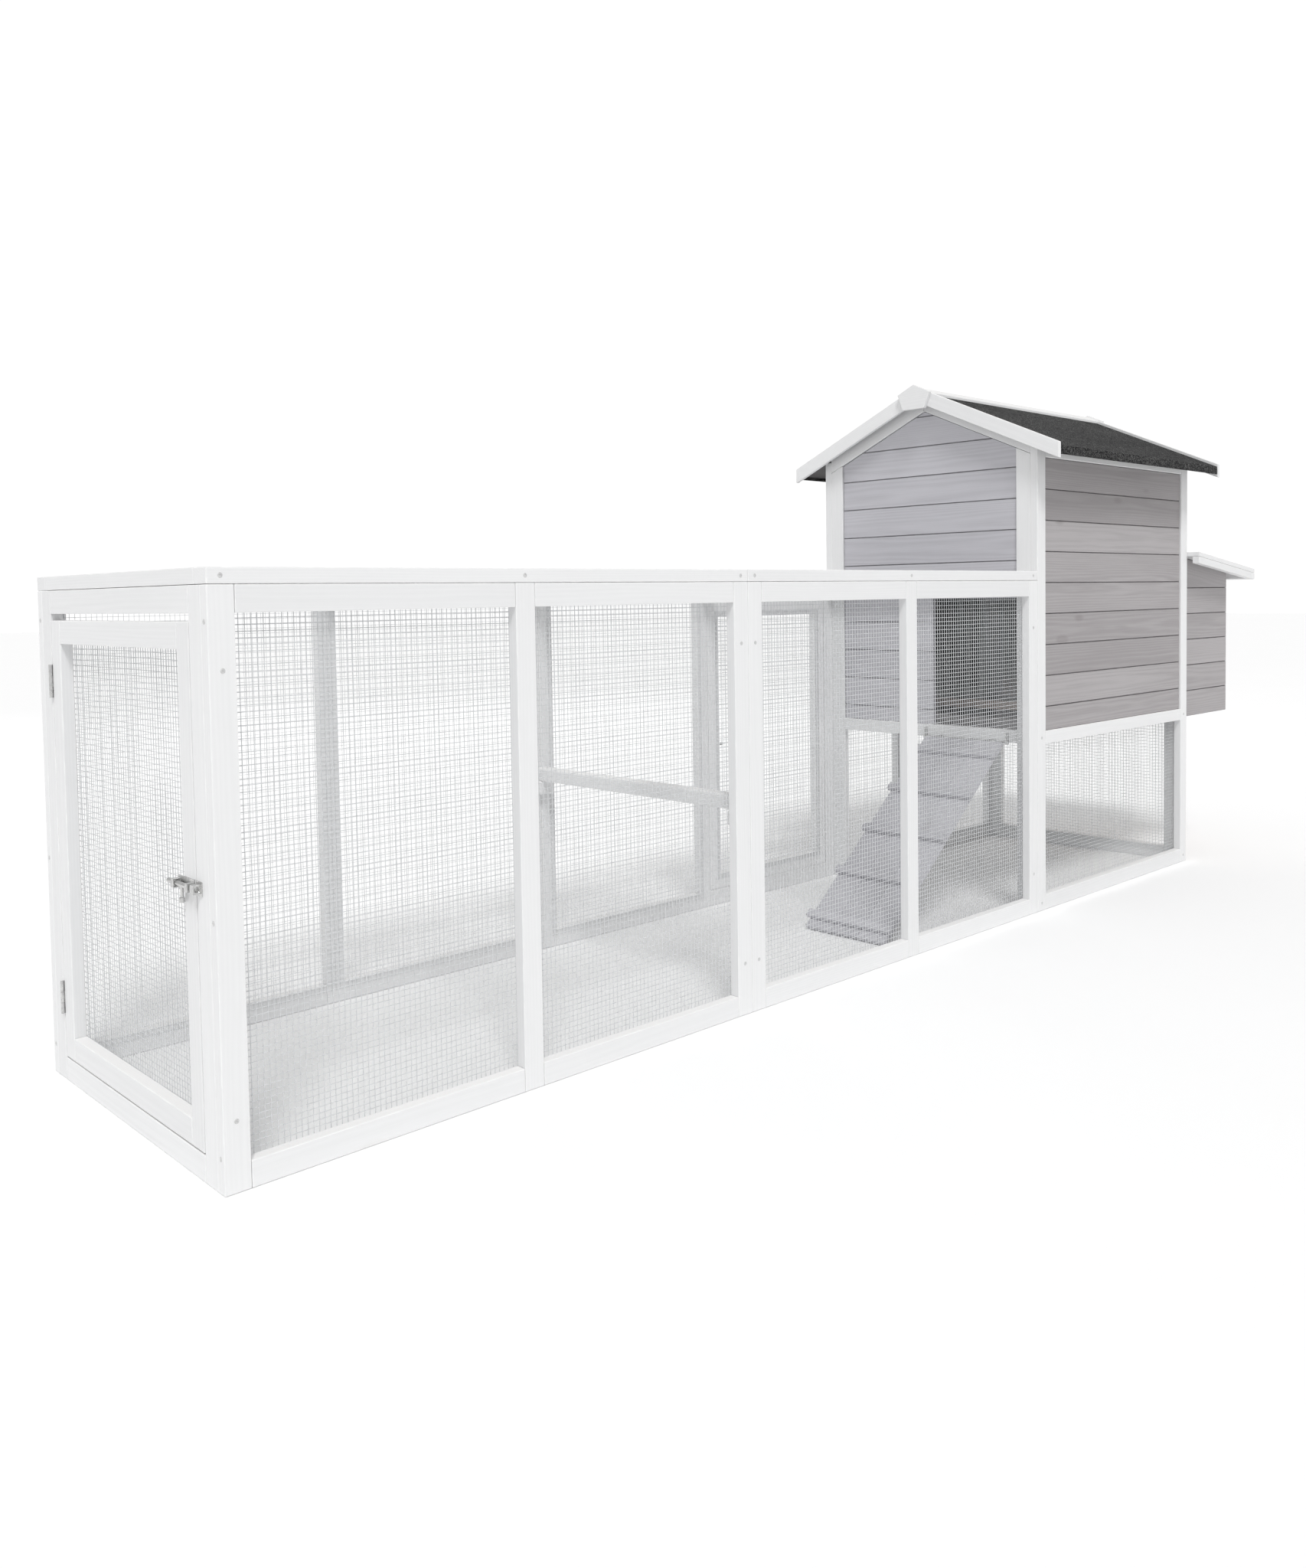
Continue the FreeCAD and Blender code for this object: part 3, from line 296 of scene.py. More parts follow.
@dataclass(frozen=True)
class Timber:
    """Finish of planed softwood, bare or under paint.

    light and dark are the board's two tones, knot the colour of its knots, and edge
    the colour of its rounded edges: rubbed edges on most finishes, painted shade in
    the grooves between planks on the cool and warm grey stains. top is a painted
    light and shade tone that faces looking up take on, as if lit from above. rings,
    fibre and patch say how far each pattern shows, knots how clear a knot is, and
    wear_and_groove_shade_cover the least and most that the edge colour covers.
    """

    name: str
    light: Colour
    dark: Colour
    knot: Colour
    edge: Colour
    top: Colour
    rings: float
    fibre: float
    patch: float
    board: float
    knots: float
    gloss: tuple[float, float]
    depth: float
    ring_width: float = 0.0046
    wear_and_groove_shade_cover: tuple[float, float] = (0.15, 0.8)

    @functools.cache
    def material(self) -> bpy.types.Material:
        """Make the wood's shader.

        Returns:
            The material.
        """
        tree = Tree(self.name)
        grain = tree.read("grain")
        warp = tree.cloud(grain, WARP_SPOTS, 3.0)
        radial = tree.add("ShaderNodeVectorMath", operation="LENGTH")
        tree.feed(tree.stretch(grain, (0.0, 1.0, 1.0)), radial.inputs[0])
        turns = 2 * math.pi / self.ring_width
        phase = tree.sum_up("MULTIPLY_ADD", warp, WARP_TURN,
                            tree.sum_up("MULTIPLY", radial.outputs["Value"], turns))
        ring = tree.sum_up("MULTIPLY_ADD", tree.sum_up("SINE", phase), 0.5, 0.5)
        fibre = tree.cloud(grain, FIBRE_SPOTS, 3.0)
        patch = tree.cloud(grain, PATCH_SPOTS, 3.0)
        share = tree.sum_up("MULTIPLY_ADD", ring, self.rings, 0.5 - self.rings / 2)
        share = tree.sum_up("MULTIPLY_ADD", fibre, self.fibre, share)
        share = tree.sum_up("MULTIPLY_ADD", patch, self.patch, share)
        share = tree.sum_up("SUBTRACT", share, (self.fibre + self.patch) / 2)
        share = tree.sum_up("MULTIPLY_ADD", tree.read("tone", "Fac"), self.board, share)
        colour = tree.blend(tree.span(share, 0.0, 1.0), self.light, self.dark)
        cells = tree.cells(grain, KNOT_SPOTS)
        spot = tree.span(cells.outputs["Distance"], *KNOT_RIM, 1.0, 0.0)
        chosen = tree.add("ShaderNodeSeparateColor")
        tree.feed(cells.outputs["Color"], chosen.inputs[0])
        spot = tree.sum_up("MULTIPLY", spot, tree.span(chosen.outputs[0], *KNOT_PICK))
        colour = tree.blend(tree.sum_up("MULTIPLY", spot, self.knots), colour, self.knot)
        # Painted light and shade: faces that look up shift towards the top tone, as if lit
        # from above.
        way = tree.add("ShaderNodeSeparateXYZ")
        tree.feed(tree.add("ShaderNodeNewGeometry").outputs["Normal"], way.inputs[0])
        up = tree.span(way.outputs["Z"], 0.6, 0.95, 0.0, 0.6)
        colour = tree.blend(up, colour, tree.blend(fibre, self.top, self.light))
        # Edge colour on the rounded faces: rubbed edges on most finishes, painted shade in
        # the plank grooves on the grey stains.
        wear_and_groove_shade_mask = tree.span(tree.cloud(grain, EDGE_WEAR_AND_SHADE_SPOTS), 0.42, 0.7, *self.wear_and_groove_shade_cover)
        wear_and_groove_shade_mask = tree.sum_up("MULTIPLY", wear_and_groove_shade_mask, tree.read("edge", "Fac"))
        colour = tree.blend(wear_and_groove_shade_mask, colour, self.edge)
        tree.shade("Base Color", colour)
        tree.shade("Roughness",
                   tree.span(tree.sum_up("ADD", patch, fibre), 0.5, 1.5, *self.gloss))
        height = tree.sum_up("MULTIPLY_ADD", ring, 0.35, fibre)
        tree.relief(tree.sum_up("MULTIPLY_ADD", spot, 0.5, height), 0.6, self.depth)
        return tree.material


@dataclass(frozen=True)
class Felt:
    """Bitumen roofing felt faced with fine mineral granules."""

    name: str
    ground: Colour
    granule: Colour
    grains: float = 430.0

    @functools.cache
    def material(self) -> bpy.types.Material:
        """Make the felt's shader.

        Returns:
            The material.
        """
        tree = Tree(self.name)
        place = tree.read("grain")
        fine = tree.cells(place, (self.grains,) * 3)
        tint = tree.add("ShaderNodeSeparateColor")
        tree.feed(fine.outputs["Color"], tint.inputs[0])
        patch = tree.cloud(place, (3.0, 5.0, 5.0), 4.0)
        smear = tree.cloud(place, (60.0, 60.0, 60.0), 3.0)
        share = tree.sum_up("MULTIPLY_ADD", patch, 0.5, tint.outputs[0])
        share = tree.sum_up("MULTIPLY_ADD", smear, 0.5, share)
        tree.shade("Base Color", tree.blend(tree.span(share, 0.75, 1.6), self.ground,
                                            self.granule))
        tree.shade("Roughness", tree.span(tint.outputs[1], 0.0, 1.0, 0.78, 0.95))
        tree.shade("Specular IOR Level", 0.12)
        height = tree.sum_up("SUBTRACT", smear, fine.outputs["Distance"])
        tree.relief(height, 0.8, 0.0006)
        return tree.material


@dataclass(frozen=True)
class Metal:
    """Zinc finish of wire and ironmongery."""

    name: str
    light: Colour
    dark: Colour
    metallic: float
    gloss: tuple[float, float]
    spots: float

    @functools.cache
    def material(self) -> bpy.types.Material:
        """Make the metal's shader.

        Returns:
            The material.
        """
        tree = Tree(self.name)
        place = tree.read("grain")
        cells = tree.cells(place, (self.spots,) * 3)
        tint = tree.add("ShaderNodeSeparateColor")
        tree.feed(cells.outputs["Color"], tint.inputs[0])
        dull = tree.cloud(place, (45.0, 45.0, 45.0), 4.0)
        share = tree.sum_up("MULTIPLY_ADD", tint.outputs[0], 0.5,
                            tree.sum_up("MULTIPLY", dull, 0.5))
        tree.shade("Base Color", tree.blend(share, self.light, self.dark))
        tree.shade("Metallic", self.metallic)
        tree.shade("Roughness", tree.span(dull, 0.3, 0.7, *self.gloss))
        tree.relief(tree.cloud(place, (900.0, 900.0, 900.0), 2.0), 0.25, 0.0001)
        return tree.material


WHITE_PAINT = Timber(
    "white_paint_on_softwood", light=(0.84, 0.843, 0.847), dark=(0.755, 0.758, 0.763),
    knot=(0.74, 0.73, 0.70), edge=(0.90, 0.90, 0.895), top=(0.87, 0.845, 0.82),
    rings=0.12, fibre=0.3, patch=0.4, board=0.14, knots=0.2, gloss=(0.42, 0.6),
    depth=0.00014)
# The near-black edge colour, over almost all of the rounded faces, is painted shade in the
# grooves between planks.
COOL_GREY = Timber(
    "cool_grey_stain", light=(0.56, 0.555, 0.59), dark=(0.43, 0.425, 0.455),
    knot=(0.30, 0.29, 0.30), edge=(0.17, 0.168, 0.18), top=(0.48, 0.48, 0.50),
    rings=0.24, fibre=0.5, patch=0.6, board=0.3, knots=0.4, gloss=(0.6, 0.78),
    depth=0.00025, wear_and_groove_shade_cover=(0.75, 1.0))
RAMP_GREY = replace(COOL_GREY, name="pale_grey_stain", edge=(0.50, 0.50, 0.53),
                    wear_and_groove_shade_cover=(0.15, 0.8))
# Its near-black edge colour, over almost all of the rounded faces, is painted shade in the
# grooves between planks.
WARM_GREY = Timber(
    "warm_grey_stain", light=(0.42, 0.402, 0.408), dark=(0.315, 0.298, 0.303),
    knot=(0.22, 0.20, 0.20), edge=(0.12, 0.113, 0.116), top=(0.44, 0.43, 0.43),
    rings=0.3, fibre=0.6, patch=0.6, board=0.34, knots=0.45, gloss=(0.6, 0.78),
    depth=0.00026, wear_and_groove_shade_cover=(0.75, 1.0))
# Near-black finish: painted shade for the dark inside of the house, and a dark underside for
# the roof boards under the eaves.
DARK_SHADE_GREY = Timber(
    "dark_grey_painted_shade", light=(0.15, 0.145, 0.145), dark=(0.09, 0.088, 0.09),
    knot=(0.05, 0.045, 0.045), edge=(0.19, 0.18, 0.18), top=(0.16, 0.155, 0.155),
    rings=0.4, fibre=0.6, patch=0.6, board=0.3, knots=0.6, gloss=(0.6, 0.8),
    depth=0.00026)
BARE_SOFTWOOD = Timber(
    "planed_softwood", light=(0.74, 0.63, 0.56), dark=(0.58, 0.46, 0.39),
    knot=(0.30, 0.18, 0.12), edge=(0.76, 0.66, 0.58), top=(0.73, 0.63, 0.56),
    rings=0.75, fibre=0.4, patch=0.4, board=0.3, knots=0.8, gloss=(0.5, 0.68),
    depth=0.0002)
ROOF_FELT = Felt("green_black_mineral_felt", ground=(0.010, 0.010, 0.011),
                 granule=(0.115, 0.115, 0.113))
WIRE = Metal("welded_wire_zinc", light=(0.74, 0.75, 0.76), dark=(0.58, 0.59, 0.60),
             metallic=0.25, gloss=(0.38, 0.6), spots=160.0)
SCREW_ZINC = Metal("dull_zinc_plate", light=(0.74, 0.74, 0.74), dark=(0.56, 0.56, 0.56),
                   metallic=0.35, gloss=(0.35, 0.55), spots=300.0)
ZINC = Metal("bright_zinc_plate", light=(0.72, 0.72, 0.71), dark=(0.50, 0.50, 0.50),
             metallic=0.95, gloss=(0.22, 0.42), spots=240.0)
Finish = Timber | Felt | Metal


# --------------------------------------------------------- mesh making

def solid_parts(mesh: bmesh.types.BMesh) -> Iterator[list[bmesh.types.BMVert]]:
    """Split a mesh into its separate solids.

    Args:
        mesh: the mesh.

    Returns:
        The corners of each solid in turn.
    """
    waiting = set(mesh.verts)
    for first in list(mesh.verts):
        if first not in waiting:
            continue
        waiting.discard(first)
        group, border = [first], [first]
        while border:
            for edge in border.pop().link_edges:
                for corner in edge.verts:
                    if corner in waiting:
                        waiting.discard(corner)
                        group.append(corner)
                        border.append(corner)
        yield group


def box_of(corners: list[bmesh.types.BMVert]) -> tuple[Vector, Vector]:
    """Find the box round a solid.

    Args:
        corners: the solid's corners.

    Returns:
        The box's lowest and highest corner.
    """
    places = [corner.co for corner in corners]
    low = Vector([min(place[axis] for place in places) for axis in range(3)])
    high = Vector([max(place[axis] for place in places) for axis in range(3)])
    return low, high


def lift(node: str) -> bmesh.types.BMesh:
    """Copy a frame node's shape, with its facets joined into whole faces.

    Args:
        node: the node's name.

    Returns:
        The copied shape.
    """
    mesh = bmesh.new()
    mesh.from_mesh(frame["nodes"][node].data)
    bmesh.ops.remove_doubles(mesh, verts=mesh.verts, dist=SAME_SPOT)
    bmesh.ops.dissolve_limit(mesh, angle_limit=FLAT, verts=mesh.verts, edges=mesh.edges)
    return mesh


def mark_grain(mesh: bmesh.types.BMesh, dice: random.Random, spread: float) -> None:
    """Give each board its own grain: along its length, from its own log.

    Where edges are equally long, or faces equally wide, the first one met counts,
    so that a board's grain runs the same way each time.

    Args:
        mesh: the boards, as separate solids.
        dice: the source of chance.
        spread: how far the boards' tones differ, 0 to 1.
    """
    grain = mesh.verts.layers.float_vector.new("grain")
    tone = mesh.verts.layers.float.new("tone")
    for corners in solid_parts(mesh):
        edges = [edge for corner in corners for edge in corner.link_edges]
        faces = [face for corner in corners for face in corner.link_faces]
        longest = max(edges, key=lambda edge: edge.calc_length())
        along = (longest.verts[1].co - longest.verts[0].co).normalized()
        wide = max(faces, key=lambda face: face.calc_area()).normal
        across = wide.cross(along).normalized()
        if across.length < 0.5:
            across = along.orthogonal().normalized()
        middle = sum((corner.co for corner in corners), Vector()) / len(corners)
        pith = Vector((dice.uniform(0, 40), dice.uniform(-0.05, 0.05),
                       dice.uniform(0.02, 0.09)))
        shade = dice.uniform(-spread, spread)
        axes = Matrix((along, across, along.cross(across)))
        for corner in corners:
            corner[grain] = axes @ (corner.co - middle) + pith
            corner[tone] = shade


def round_edges(mesh: bmesh.types.BMesh, radius: float, steps: int = 2) -> None:
    """Round every sharp edge, and mark the rounded faces for the edge colour: rubbed
    edges, and painted shade in the grooves between grey planks.

    Args:
        mesh: the mesh.
        radius: how far in the rounding starts.
        steps: how many facets it has.
    """
    wear_and_groove_shade_mask = mesh.faces.layers.float.new("edge")
    sharp = [edge for edge in mesh.edges
             if len(edge.link_faces) == 2 and edge.calc_face_angle(0) > SHARP]
    made = bmesh.ops.bevel(mesh, geom=sharp, offset=radius, segments=steps, profile=0.6,
                           affect="EDGES", clamp_overlap=True)
    for face in made["faces"]:
        face[wear_and_groove_shade_mask] = 1.0


def set_up(name: str, mesh: bmesh.types.BMesh, finish: Finish, body: str,
           replaced: tuple[str, ...] = (), smooth: bool = False) -> bpy.types.Object:
    """Turn a finished mesh into a piece of the coop.

    Args:
        name: the piece's name.
        mesh: its mesh, which is used up.
        finish: what it is finished in.
        body: the body it moves with.
        replaced: the frame nodes it stands for.
        smooth: whether its curved faces are smooth.

    Returns:
        The piece.
    """
    for layers, kind in ((mesh.verts.layers.float_vector, "grain"),
                         (mesh.verts.layers.float, "tone"),
                         (mesh.faces.layers.float, "edge")):
        if layers.get(kind) is None:
            layer = layers.new(kind)
            if kind == "grain":
                for corner in mesh.verts:
                    corner[layer] = corner.co
    data = bpy.data.meshes.new(name)
    mesh.to_mesh(data)
    mesh.free()
    if smooth:
        data.shade_smooth()
        data.set_sharp_from_angle(angle=CREASE)
    piece = bpy.data.objects.new(name, data)
    bpy.context.scene.collection.objects.link(piece)
    data.materials.append(finish.material())
    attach(piece, body)
    if replaced:
        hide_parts(*replaced)
    LOG.info("%s: %d faces, rides on %s", name, len(data.polygons), body)
    return piece


def body_of(node: str) -> str:
    """Give the body that a frame node moves with."""
    return frame["nodes"][node]["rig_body"]


def timber(node: str, finish: Timber, radius: float, spread: float = 1.0) -> None:
    """Rebuild one node's boards with rounded edges and their own grain.

    Args:
        node: the frame node.
        finish: the boards' finish.
        radius: the rounding of their edges.
        spread: how far their tones differ.
    """
    mesh = lift(node)
    mark_grain(mesh, random.Random(node), spread)
    round_edges(mesh, radius)
    set_up(f"{node}_boards", mesh, finish, body_of(node), (node,))


def planks(node: str, finish: Timber, radius: float) -> None:
    """Rebuild one wall's planks, with a tongue across each joint between rows.

    Args:
        node: the frame node.
        finish: the planks' finish.
        radius: the rounding of their edges.
    """
    mesh = lift(node)
    add_tongues(mesh)
    mark_grain(mesh, random.Random(node), 1.0)
    round_edges(mesh, radius)
    set_up(f"{node}_boards", mesh, finish, body_of(node), (node,))


def add_tongues(mesh: bmesh.types.BMesh, reach: float = 0.005, thick: float = 0.003,
                joint: float = 0.0015, short: float = 0.011) -> None:
    """Run a tongue from the foot of each plank into the plank below it.

    Args:
        mesh: the planks, as separate solids.
        reach: how far the tongue goes into each plank.
        thick: its thickness.
        joint: the widest gap that still counts as a joint.
        short: how far it stops short of the ends of a plank cut to the roof's slope.
    """
    rows = [[corner.co.copy() for corner in corners] for corners in solid_parts(mesh)]
    tops = {round(max(place.z for place in row), 5) for row in rows}
    for row in rows:
        foot = min(place.z for place in row)
        if not any(0 < foot - top < joint for top in tops):
            continue
        peak = max(place.z for place in row)
        low = [place for place in row if place.z - foot < LEVEL]
        high = [place for place in row if peak - place.z < LEVEL]
        spans = []
        for axis in range(2):
            values = [place[axis] for place in low]
            start, end = min(values), max(values)
            if end - start < PLANK_THICK:
                middle = (start + end) / 2
                start, end = middle - thick / 2, middle + thick / 2
            elif min(place[axis] for place in high) > start + reach:
                start, end = start + short, end - short
            spans.append((start, end))
        add_box(mesh, (spans[0][0], spans[1][0], foot - reach),
                (spans[0][1], spans[1][1], foot + reach))


def add_box(mesh: bmesh.types.BMesh, low: Triple, high: Triple) -> None:
    """Add a square-cut strip of wood.

    Args:
        mesh: the mesh that takes it.
        low: its lowest corner.
        high: its highest corner.
    """
    corners = [mesh.verts.new((x, y, z)) for z in (low[2], high[2])
               for x, y in ((low[0], low[1]), (high[0], low[1]),
                            (high[0], high[1]), (low[0], high[1]))]
    for face in ((3, 2, 1, 0), (4, 5, 6, 7), (0, 1, 5, 4), (1, 2, 6, 5), (2, 3, 7, 6),
                 (3, 0, 4, 7)):
        mesh.faces.new([corners[index] for index in face])
    mesh.normal_update()


def metal(node: str, radius: float = 0.0003) -> None:
    """Rebuild one node of ironmongery with its edges broken.

    Args:
        node: the frame node.
        radius: how far its edges are broken.
    """
    mesh = lift(node)
    round_edges(mesh, radius, 1)
    set_up(f"{node}_steel", mesh, ZINC, body_of(node), (node,), smooth=True)


def tube(mesh: bmesh.types.BMesh, line: list[Vector], radius: float, sides: int) -> None:
    """Add a closed round bar along a line of points.

    Args:
        mesh: the mesh that takes it.
        line: its centre line.
        radius: its radius.
        sides: how many sides it has.
    """
    along = (line[-1] - line[0]).normalized()
    one = along.orthogonal().normalized()
    two = along.cross(one)
    rings = []
    for point in line:
        ring = []
        for index in range(sides):
            turn = 2 * math.pi * index / sides
            ring.append(mesh.verts.new(
                point + radius * (math.cos(turn) * one + math.sin(turn) * two)))
        rings.append(ring)
    for low, high in zip(rings, rings[1:]):
        for index in range(sides):
            after = (index + 1) % sides
            mesh.faces.new((low[index], low[after], high[after], high[index]))
    mesh.faces.new(rings[0][::-1])
    mesh.faces.new(rings[-1])


@dataclass
class WireSheet:
    """Welded wire mesh: two layers of straight wires, welded where they cross.

    wire is a wire's radius, step the length between its bends, wave how far it
    strays and waves how often, and nip the second layer's distance in radii.
    """

    node: str
    pitch: float = 0.010
    wire: float = 0.0006
    sides: int = 6
    step: float = 0.11
    wave: float = 0.0007
    waves: float = 9.0
    nip: float = 1.8

    def build(self) -> None:
        """Lay the wires over each of the node's flat sheets."""
        flat = lift(self.node)
        mesh = bmesh.new()
        for corners in solid_parts(flat):
            self.lay(mesh, *box_of(corners))
        flat.free()
        set_up(f"{self.node}_wires", mesh, WIRE, body_of(self.node), (self.node,),
               smooth=True)

    def lay(self, mesh: bmesh.types.BMesh, low: Vector, high: Vector) -> None:
        """Lay both layers of wires over one flat sheet.

        Args:
            mesh: the mesh that takes them.
            low: the sheet's lowest corner.
            high: its highest corner.
        """
        size = high - low
        thin = min(range(3), key=lambda axis: size[axis])
        across, up = [axis for axis in range(3) if axis != thin]
        middle = (low + high) / 2
        inward = -1.0 if thin == 2 else -math.copysign(1.0, middle[thin])
        face = low[thin] if inward > 0 else high[thin]
        for layer, (run, over) in enumerate(((up, across), (across, up))):
            depth = face + inward * self.wire * (1 + self.nip * layer)
            count = int(size[over] / self.pitch)
            first = middle[over] - count * self.pitch / 2
            for index in range(count + 1):
                pieces = max(2, round(size[run] / self.step))
                line = []
                for part in range(pieces + 1):
                    point = Vector()
                    point[run] = low[run] + size[run] * part / pieces
                    point[over] = first + index * self.pitch
                    point[thin] = depth
                    shake = noise.noise_vector(point * self.waves) * self.wave
                    shake[thin] = abs(shake[thin]) * inward
                    line.append(point + shake)
                tube(mesh, line, self.wire, self.sides)


@dataclass
class ScrewHead:
    """Domed screw head with a cross recess."""

    radius: float = 0.004
    height: float = 0.001
    arm: float = 0.0023
    slit: float = 0.00052
    recess: float = 0.0007
    dome: float = 0.7
    circles: tuple[float, ...] = (1.0, 0.93, 0.8, 0.62, 0.52, 0.4, 0.28, 0.19, 0.1)
    sides: int = 28

    def build(self, mesh: bmesh.types.BMesh, base: Vector, out: Vector, turn: float) -> None:
        """Add one head.

        Args:
            mesh: the mesh that takes it.
            base: the middle of its underside.
            out: the way it faces.
            turn: how far its recess is turned, in radians.
        """
        one = out.orthogonal().normalized()
        two = out.cross(one)
        rings = []
        for depth, share in [(0.0, 1.0)] + [(1.0, share) for share in self.circles]:
            ring = []
            for index in range(self.sides):
                angle = 2 * math.pi * index / self.sides
                x = self.radius * share * math.cos(angle)
                y = self.radius * share * math.sin(angle)
                rise = depth * self.height * (1 - self.dome * share ** 4)
                inside = (min(abs(x), abs(y)) < self.slit and max(abs(x), abs(y)) < self.arm)
                if depth and inside:
                    rise -= self.recess
                spot = Matrix.Rotation(turn, 3, out) @ (x * one + y * two)
                ring.append(mesh.verts.new(base + spot + rise * out))
            rings.append(ring)
        for outer, inner in zip(rings, rings[1:]):
            for index in range(self.sides):
                after = (index + 1) % self.sides
                mesh.faces.new((outer[index], outer[after], inner[after], inner[index]))
        mesh.faces.new(rings[-1])
        mesh.faces.new(rings[0][::-1])


# ------------------------------------------------------- sub-assemblies

@dataclass
class Run:
    """Two wire-mesh modules with their caps and the perch between them."""

    edge: float = 0.0014
    cap_edge: float = 0.0018
    perch_edge: float = 0.004
    wire: float = 0.0007
    fine_wire: float = 0.0004

    def build(self) -> None:
        """Build both modules' frames, wires and perch."""
        for side in ("front", "back"):
            for module in ("a", "b"):
                timber(f"run_{side}_frame_{module}", WHITE_PAINT, self.edge)
                WireSheet(f"run_{side}_mesh_{module}",
                          wire=self.fine_wire if side == "back" else self.wire).build()
        timber("run_end_frame", WHITE_PAINT, self.edge)
        timber("run_top_frame_a", WHITE_PAINT, self.cap_edge)
        timber("run_top_frame_b", WHITE_PAINT, self.cap_edge)
        WireSheet("run_top_mesh").build()
        timber("run_perch", WHITE_PAINT, self.perch_edge)


class Filling(Enum):
    """What fills a door's frame."""

    WIRES = "mesh"
    PLANKS = "planks"


@dataclass
class Door:
    """Side-hung door with two butt hinges and a barrel bolt."""

    name: str
    filling: Filling
    edge: float = 0.0014

    def build(self) -> None:
        """Build the door's frame, filling and ironmongery."""
        timber(f"{self.name}_frame", WHITE_PAINT, self.edge)
        if self.filling is Filling.WIRES:
            WireSheet(f"{self.name}_mesh").build()
        else:
            planks(f"{self.name}_planks", WARM_GREY, self.edge)
        for part in ("leaves", "bolt_case", "bolt"):
            metal(f"{self.name}_{part}")


@dataclass
class House:
    """Raised planked house with its floor, roost, pop door and lower mesh."""

    frame_edge: float = 0.0016
    plank_edge: float = 0.0014
    inside_edge: float = 0.001
    wire: float = 0.0005

    def build(self) -> None:
        """Build the walls, the inside and the open space underneath."""
        for node in ("house_front_frame", "house_back_frame", "run_gable_frame",
                     "nest_gable_frame", "floor_joists"):
            timber(node, WHITE_PAINT, self.frame_edge)
        for side in ("front", "back"):
            planks(f"house_{side}_planks", WARM_GREY, self.plank_edge)
        for end in ("run", "nest"):
            planks(f"{end}_gable_planks", COOL_GREY, self.plank_edge)
        # Painted shade: the floor boards and pop runners are near black, for the dark inside
        # of the house.
        timber("floor_boards", DARK_SHADE_GREY, self.inside_edge)
        timber("pop_runners", DARK_SHADE_GREY, self.inside_edge)
        timber("house_roost", BARE_SOFTWOOD, self.inside_edge)
        timber("pop_door", BARE_SOFTWOOD, self.inside_edge)
        WireSheet("house_mesh", wire=self.wire).build()


@dataclass
class Roof:
    """Gabled roof: boards, felt, bargeboards, ridge boards and end blocks."""

    edge: float = 0.0016
    felt_edge: float = 0.0009

    def build(self) -> None:
        """Build the roof from the boards up."""
        # The roof boards take the same near-black finish, so their underside under the eaves
        # reads dark.
        timber("roof_boards", DARK_SHADE_GREY, self.edge)
        for node in ("bargeboards", "ridge_cap", "ridge_blocks"):
            timber(node, WHITE_PAINT, self.edge)
        mesh = lift("roof_felt")
        round_edges(mesh, self.felt_edge)
        set_up("roof_felt_sheets", mesh, ROOF_FELT, body_of("roof_felt"), ("roof_felt",))


@dataclass
class NestBox:
    """Planked nest box with a sloping, rimmed lid."""

    plank_edge: float = 0.0025
    wall_edge: float = 0.0014
    lid_edge: float = 0.002
    lid_thick: float = 0.014
    rim: float = 0.036
    rim_thick: float = 0.022
    slope: float = 0.12
    seam: float = 0.0004

    def build(self) -> None:
        """Build the box, its inside and its lid."""
        planks("nest_walls", WARM_GREY, self.wall_edge)
        timber("nest_floor", BARE_SOFTWOOD, self.plank_edge)
        timber("nest_divider", BARE_SOFTWOOD, self.plank_edge)
        metal("nest_lid_leaves")
        self.build_lid()

    def build_lid(self) -> None:
        """Build the lid board and the three rims under its edge."""
        low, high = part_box("nest_lid")
        under = -self.lid_thick - self.seam
        foot = -self.rim
        inner = high.x - self.rim_thick
        mesh = bmesh.new()
        boards = (
            (low.x, high.x, low.y, high.y, 0.0, -self.lid_thick),
            (low.x, inner - self.seam, low.y, low.y + self.rim_thick, under, foot),
            (low.x, inner - self.seam, high.y - self.rim_thick, high.y, under, foot),
            (inner, high.x, low.y, high.y, under, foot),
        )
        for x0, x1, y0, y1, top, bottom in boards:
            corners = []
            for y in (y0, y1):
                for x, drop in ((x0, bottom), (x1, bottom), (x1, top), (x0, top)):
                    z = high.z - (x - low.x) * self.slope + drop
                    corners.append(mesh.verts.new((x, y, z)))
            for face in ((0, 1, 2, 3), (7, 6, 5, 4), (0, 4, 5, 1), (1, 5, 6, 2),
                         (2, 6, 7, 3), (3, 7, 4, 0)):
                mesh.faces.new([corners[index] for index in face])
        bmesh.ops.recalc_face_normals(mesh, faces=mesh.faces)
        mark_grain(mesh, random.Random("nest_lid"), 1.0)
        round_edges(mesh, self.lid_edge)
        set_up("nest_lid_boards", mesh, WHITE_PAINT, "nest_lid", ("nest_lid",))


@dataclass
class Ramp:
    """Boarded ramp with cleats, hung on a rod by two strap eyes."""

    edge: float = 0.0014

    def build(self) -> None:
        """Build the ramp's boards, cleats and straps."""
        timber("ramp_board", RAMP_GREY, self.edge)
        timber("ramp_cleats", RAMP_GREY, self.edge)
        metal("ramp_straps")


